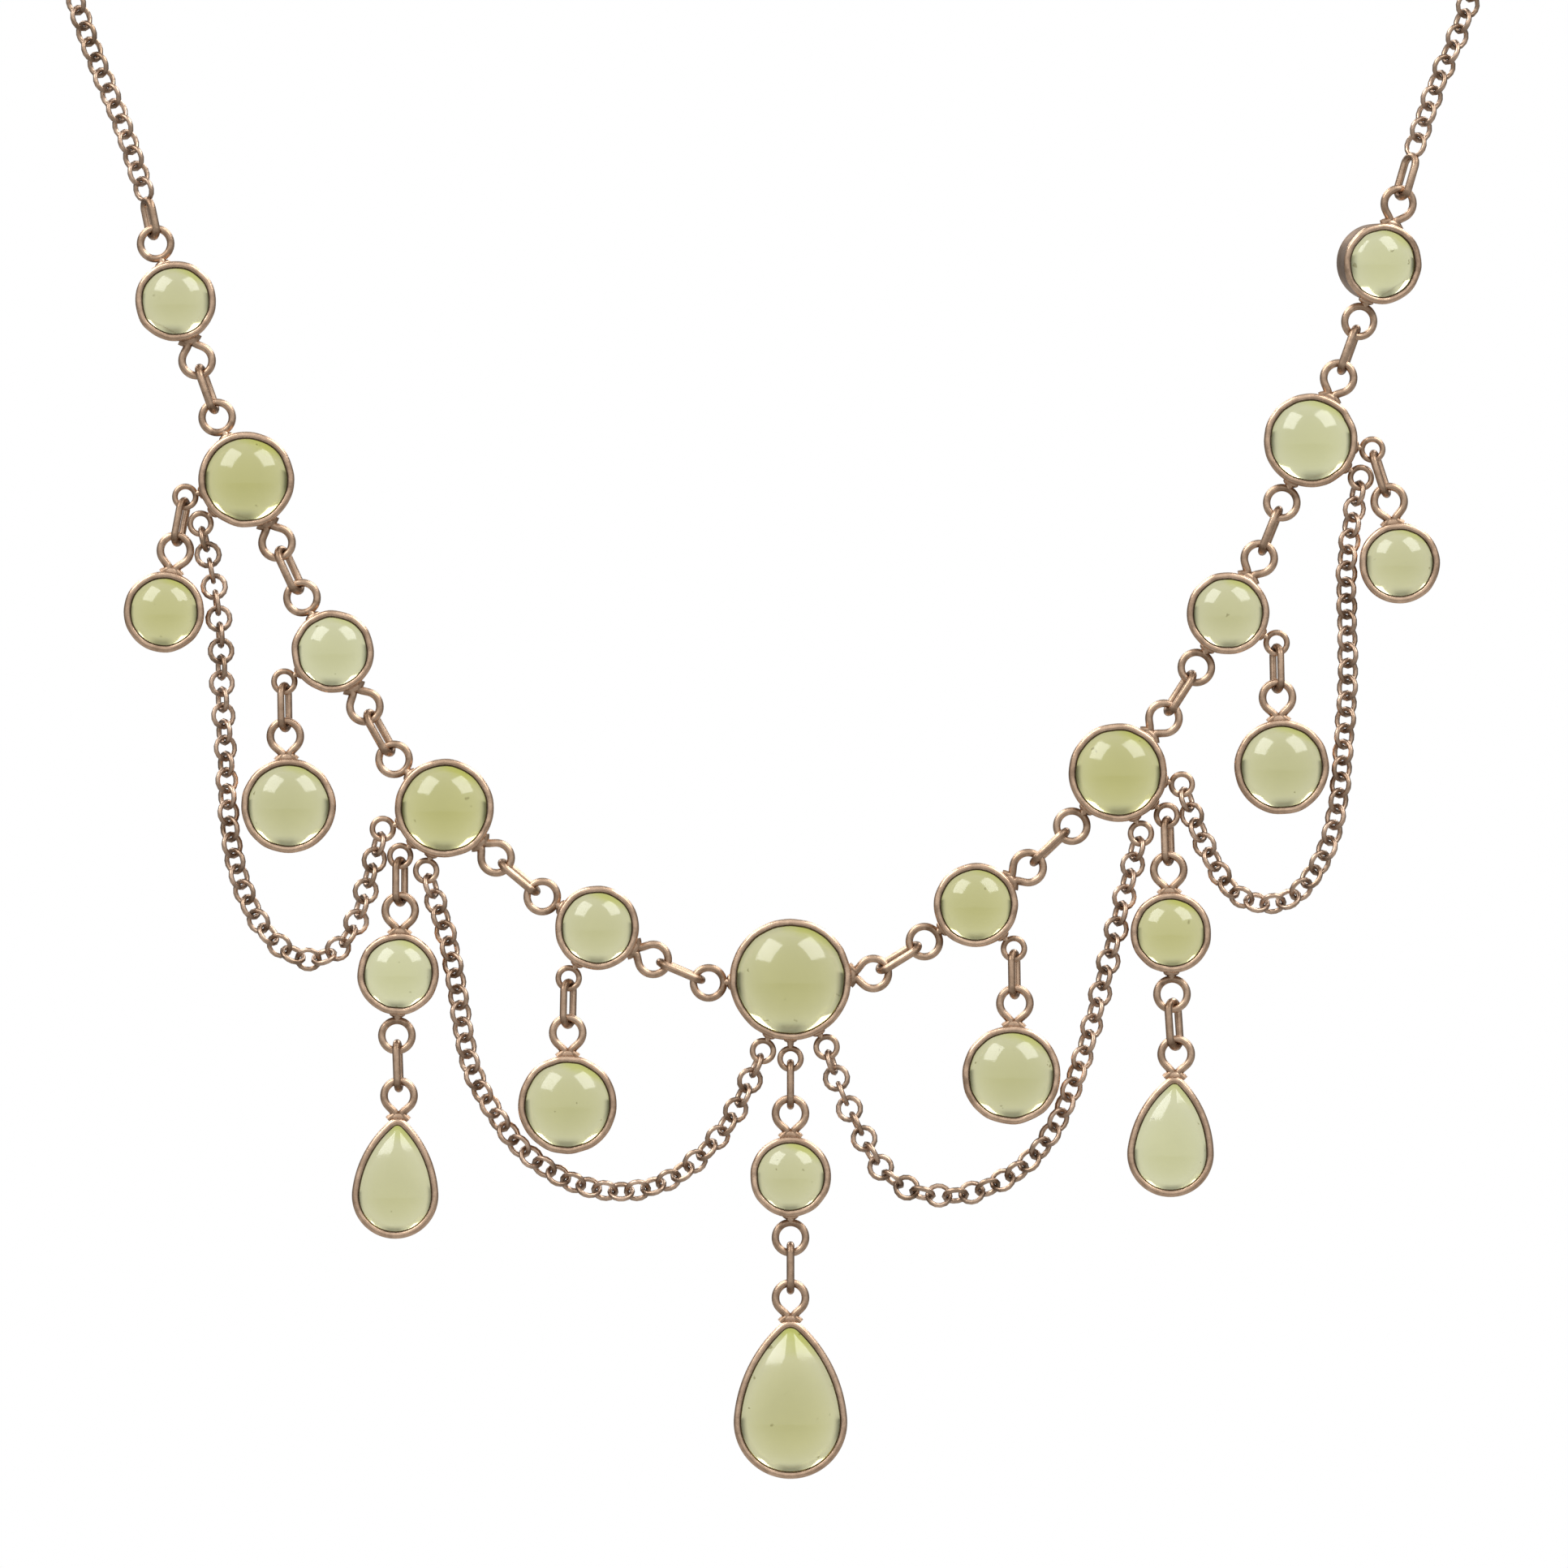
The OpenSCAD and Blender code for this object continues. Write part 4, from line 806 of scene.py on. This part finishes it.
for s, side in enumerate(SIDES):
    lay_links(f"end_jump_link_{side}",
              [link_place(row_outer[s, 5], end_far[s], END_LINK_LENGTHS[s], ROW_LINK_WIRE, in_row(s), END_TURNS[s])],
              END_LINK_LENGTHS[s], ROW_LINK_WIRE, "necklace", "end_links")


def smooth(points):
    """A smooth line through chosen points."""
    points = [np.asarray(p, float) for p in points]
    line = []
    for i in range(len(points) - 1):
        p1, p2 = points[i], points[i + 1]
        p0 = points[i - 1] if i else 2 * p1 - p2
        p3 = points[i + 2] if i < len(points) - 2 else 2 * p2 - p1
        for k in range(ROUTE_STEPS):
            t = k / ROUTE_STEPS
            line.append(0.5 * (2 * p1 + (p2 - p0) * t + (2 * p0 - 5 * p1 + 4 * p2 - p3) * t * t
                               + (3 * p1 - p0 - 3 * p2 + p3) * t ** 3))
    return np.array(line + [points[-1]])


def trimmed(line, first, last):
    """The line without a stretch at each end, and how long it is."""
    step = np.linalg.norm(np.diff(line, axis=0), axis=1)
    run = np.concatenate([[0], np.cumsum(step)])
    total = run[-1]
    ends = [np.array([np.interp(d, run, line[:, k]) for k in range(line.shape[1])]) for d in (first, total - last)]
    keep = line[(run > first + 1e-6) & (run < total - last - 1e-6)]
    return np.vstack([ends[0], keep, ends[1]]), total - first - last


CHAIN_R = (CHAIN_D - CHAIN_WIRE) / 2
CHAIN_PITCH = CHAIN_D - 2 * CHAIN_WIRE - CHAIN_GAP
# The neck chain's first link starts this far before its plain cord, and its line is cut by this much at each end.
NECK_LEAD, NECK_CUTS = 0.05, (0.35, 0.2)
LOOSENESS = 0.05


def lay_chain(name, line, length, across, rolls, seed, node):
    """Lays a chain. The rolls are those of its first, middle and last links."""
    count = math.ceil(length / CHAIN_PITCH) + 1
    lay(name, cable_chain, line, {"across": across}, [(k, k + 1) for k in range(len(line) - 1)],
        {"Link length": CHAIN_D * MM, "Link width": CHAIN_D * MM, "Wire radius": CHAIN_WIRE * FULLER_CHAIN / 2 * MM,
         "Link count": count, "First roll": math.radians(rolls[0]), "Middle roll": math.radians(rolls[1]),
         "Last roll": math.radians(rolls[2]), "Looseness": LOOSENESS, "Seed": seed, "Metal": chain_gold},
        "necklace", node)


def lay_swag(name, node, a, b, route, rolls, seed):
    way = b - a
    off = np.array((way[1], -way[0]))
    end = CHAIN_R + hold(SIDE_R, SIDE_WIRE, CHAIN_WIRE)
    line, length = trimmed(smooth([a] + [a + way * p[0] + off * p[1] for p in route] + [b]), end, end)
    points = [in_space(p) for p in line]
    odd = math.ceil(length / CHAIN_PITCH) % 2 * 90
    lay_chain(name, points, length, [Vector((0, 1, 0))] * len(points),
              (rolls[0], 45 - odd, rolls[1] - odd), seed, node)


centre_swag_eyes = [side_eye(centre_at, CENTRE_D, a) for a in CENTRE_SWAG_EYES]
SWAG_ENDS = (
    ("outer_swag_chain_left", "outer_swag_left", row_eye(0, 4, OUTER_EYE), row_eye(0, 2, OUTER_EYE)),
    ("inner_swag_chain_left", "inner_swag_left", row_eye(0, 2, INNER_EYE), centre_swag_eyes[0]),
    ("inner_swag_chain_right", "inner_swag_right", centre_swag_eyes[1], row_eye(1, 2, INNER_EYE)),
    ("outer_swag_chain_right", "outer_swag_right", row_eye(1, 2, OUTER_EYE), row_eye(1, 4, OUTER_EYE)))
for seed, ((name, node, a, b), (route, rolls)) in enumerate(zip(SWAG_ENDS, SWAG_ROUTES), 1):
    lay_swag(name, node, a, b, route, rolls, seed)


def carried(points, start):
    """A side vector carried along a line without twist."""
    across, made = Vector(start), []
    for k in range(len(points)):
        ahead = (Vector(points[min(k + 1, len(points) - 1)]) - Vector(points[max(k - 1, 0)])).normalized()
        across = (across - ahead * across.dot(ahead)).normalized()
        made.append(across.copy())
    return made


# Rolls of the neck chain's first, middle and last links, left and right
NECK_ROLLS = ((45, 45, 45), (45, 15, 45))
CLASP_AT = Vector((0, CLASP_D / 2, 0))
CLASP_EYE_X = CLASP_L / 2 + CLASP_EYE_R
for s, side in enumerate(SIDES):
    front = end_far[s] + outward(s, END_SLOPES[s]) * (ROW_LINK_WIRE / 2 + TUBE_GAP)
    front = np.array((front[0], -FRONT_REACH, front[1]))
    back = np.array(CLASP_AT) + (SIGN[s] * (CLASP_EYE_X + CLASP_EYE_R + CLASP_EYE_WIRE / 2 + TUBE_GAP), 0, 0)
    line = smooth([back + (front - back) * p for p in NECK_ROUTES[s]])
    # The chain's end links pass through the end link and the clasp's eye, beyond the ends of the plain cord.
    start = front + (line[0] - line[1]) / np.linalg.norm(line[0] - line[1]) * NECK_LEAD
    points = np.vstack([start, line[1:]])
    points, length = trimmed(points, *NECK_CUTS)
    lay_chain(f"neck_chain_links_{side}", [Vector(p) for p in points], length, carried(points, (0, 1, 0)),
              NECK_ROLLS[s], 11 + s, f"neck_chain_{side}")


# ---- the clasp, a plain barrel with an eye at each end ----

def clasp_barrel():
    """A barrel with a collar and a ring eye at each end."""
    form = Form()
    edge, collar_r = 0.15, CLASP_D * 0.35
    half, barrel = CLASP_L / 2, CLASP_L / 2 - CLASP_COLLAR_L
    bend = np.radians(np.linspace(0, 90, 5))
    end = [(barrel - edge + edge * math.sin(a), CLASP_D / 2 - edge + edge * math.cos(a)) for a in bend]
    collar = [(barrel, collar_r + 0.02), (half - 0.08, collar_r), (half, collar_r - 0.08), (half, 0.1)]
    right = end + collar
    profile = [(-x, r) for x, r in right[::-1]] + right
    a = np.arange(48) * 2 * math.pi / 48
    form.skin([[(x, r * math.cos(t), r * math.sin(t)) for t in a] for x, r in profile])
    turns = np.radians(np.arange(32) * 11.25)
    for m in (-1, 1):
        path = np.stack([m * CLASP_EYE_X + CLASP_EYE_R * np.cos(turns), CLASP_EYE_R * np.sin(turns)], 1)
        count = len(form.points)
        form.wire(path, CLASP_EYE_WIRE / 2, True)
        form.points[count:] = [(x, y, z - EYE_Z) for x, y, z in form.points[count:]]
    world = (np.array(form.points) + np.array(CLASP_AT)) * MM
    add_mesh("barrel_clasp", world, form.faces, np.array(form.soil_and_shade) + 0.1, gold, "necklace", "clasp")


clasp_barrel()


# ---- floor, light and camera ----

# How bright the room is behind the stones. It is dimmed to this share far to the side and high up.
SKY_IN_STONES, DIMMED = 1.0, 0.3


def floor_finish(name, colour):
    """A plain matt floor that the stones see as bright as the room behind them, and the gold in shadow."""
    material, tree = new_material(name)
    place = add_node(tree, "ShaderNodeTexCoord").outputs["Object"]
    seen = add_node(tree, "ShaderNodeLightPath").outputs
    cloud = add_node(tree, "ShaderNodeTexNoise", Vector=place, Scale=3, Detail=2)
    tone = colour_ramp(tree, cloud.outputs["Fac"], ((0.3, tuple(c * 0.98 for c in colour)), (0.7, colour)))
    shaded = mix_colour(tree, "MIX", seen["Is Glossy Ray"], tone, tuple(c * 0.35 for c in colour))
    skin = add_node(tree, "ShaderNodeBsdfPrincipled", Base_Color=shaded, Roughness=0.9)
    even = add_node(tree, "ShaderNodeEmission", Color=(1, 1, 1, 1), Strength=SKY_IN_STONES)
    both = add_node(tree, "ShaderNodeMixShader",
                    i0=seen["Is Transmission Ray"], i1=skin.outputs[0], i2=even.outputs[0])
    tree.links.new(both.outputs[0], add_node(tree, "ShaderNodeOutputMaterial").inputs["Surface"])
    return material


bpy.ops.mesh.primitive_circle_add(vertices=96, radius=3.0, fill_type="NGON", location=(0, 0, -0.45))
floor = bpy.context.object
floor.name = "floor"
floor.data.materials.append(floor_finish("pale_floor", (0.88, 0.87, 0.85)))

world = bpy.data.worlds.new("studio")
bpy.context.scene.world = world
world.use_nodes = True
tree = world.node_tree
tree.nodes.clear()
way = add_node(tree, "ShaderNodeTexCoord").outputs["Generated"]
height = add_node(tree, "ShaderNodeSeparateXYZ", Vector=way)
up = add_node(tree, "ShaderNodeMapRange", i0=height.outputs["Z"], i1=-0.5, i2=0.9, i3=0.02, i4=0.5).outputs[0]
front = add_node(tree, "ShaderNodeMapRange", i0=height.outputs["Y"], i1=-0.95, i2=0.1, i3=0.62, i4=0.0).outputs[0]
room = add_node(tree, "ShaderNodeMath", {"operation": "ADD"}, i0=up, i1=front).outputs[0]
seen = add_node(tree, "ShaderNodeLightPath").outputs
plain = add_node(tree, "ShaderNodeMath", {"operation": "MAXIMUM"}, i0=seen["Is Camera Ray"],
                 i1=seen["Is Diffuse Ray"]).outputs[0]
sideways = add_node(tree, "ShaderNodeMath", {"operation": "ABSOLUTE"}, i0=height.outputs["X"]).outputs[0]
level = add_node(tree, "ShaderNodeMath", {"operation": "ABSOLUTE"}, i0=height.outputs["Z"]).outputs[0]
at_side = add_node(tree, "ShaderNodeMapRange", i0=sideways, i1=0.55, i2=0.72, i3=0.0, i4=1.0).outputs[0]
dim_side = add_node(tree, "ShaderNodeMapRange", i0=level, i1=0.15, i2=0.4, i3=at_side, i4=0.0).outputs[0]
overhead = add_node(tree, "ShaderNodeMapRange", i0=height.outputs["Z"], i1=0.45, i2=0.6, i3=0.0, i4=0.7).outputs[0]
dim_top = add_node(tree, "ShaderNodeMapRange", i0=sideways, i1=0.1, i2=0.25, i3=overhead, i4=0.0).outputs[0]
dim = add_node(tree, "ShaderNodeMath", {"operation": "MAXIMUM"}, i0=dim_side, i1=dim_top).outputs[0]
clear = mix_value(tree, dim, SKY_IN_STONES, SKY_IN_STONES * DIMMED)
in_stones = mix_value(tree, seen["Is Transmission Ray"], room, clear)
strength = mix_value(tree, plain, in_stones, 1.0)
shade = add_node(tree, "ShaderNodeBackground", Color=(1, 1, 1, 1), Strength=strength)
tree.links.new(shade.outputs[0], add_node(tree, "ShaderNodeOutputWorld").inputs["Surface"])

# The middle of the festoon, which the camera and the lamps face
FESTOON = Vector((-0.00048, -FRONT_REACH * MM, -0.08346))


def softbox(name, azimuth, elevation, distance, width, height_, power):
    """A soft light that faces the festoon. Azimuth 0 is straight in front and positive to the right."""
    a, e = math.radians(azimuth), math.radians(elevation)
    away = Vector((math.sin(a) * math.cos(e), -math.cos(a) * math.cos(e), math.sin(e)))
    lamp = bpy.data.lights.new(name, "AREA")
    lamp.shape, lamp.size, lamp.size_y, lamp.energy = "RECTANGLE", width, height_, power
    holder = bpy.data.objects.new(name, lamp)
    holder.location = FESTOON + away * distance
    holder.rotation_mode = "QUATERNION"
    holder.rotation_quaternion = (-away).to_track_quat("-Z", "Y")
    holder.visible_camera = False
    bpy.context.collection.objects.link(holder)


# Name, azimuth, elevation, distance, width, height and power. The rear panels shine through the stones' lower edges.
LAMPS = (
    ("left_softbox", -57, 47, 0.9, 0.5, 0.6, 3.8),
    ("right_softbox", 60, 50, 0.9, 0.5, 0.6, 3.5),
    ("left_rear_panel", -137, 43, 1.2, 0.6, 0.6, 4.6),
    ("right_rear_panel", 137, 43, 1.2, 0.6, 0.6, 5.8))
for lamp in LAMPS:
    softbox(*lamp)

VIEW_DISTANCE, FRAME_WIDTH = 0.9, 0.11592
camera_data = bpy.data.cameras.new("camera")
camera_data.sensor_width = 36
camera_data.lens = 36 * VIEW_DISTANCE / FRAME_WIDTH
camera_data.clip_start, camera_data.clip_end = 0.01, 50
camera = bpy.data.objects.new("camera", camera_data)
camera.location = FESTOON + Vector((0, -VIEW_DISTANCE, 0))
camera.rotation_euler = (math.radians(90), 0, 0)
bpy.context.collection.objects.link(camera)
bpy.context.scene.camera = camera
bpy.context.scene.view_settings.view_transform = "Standard"
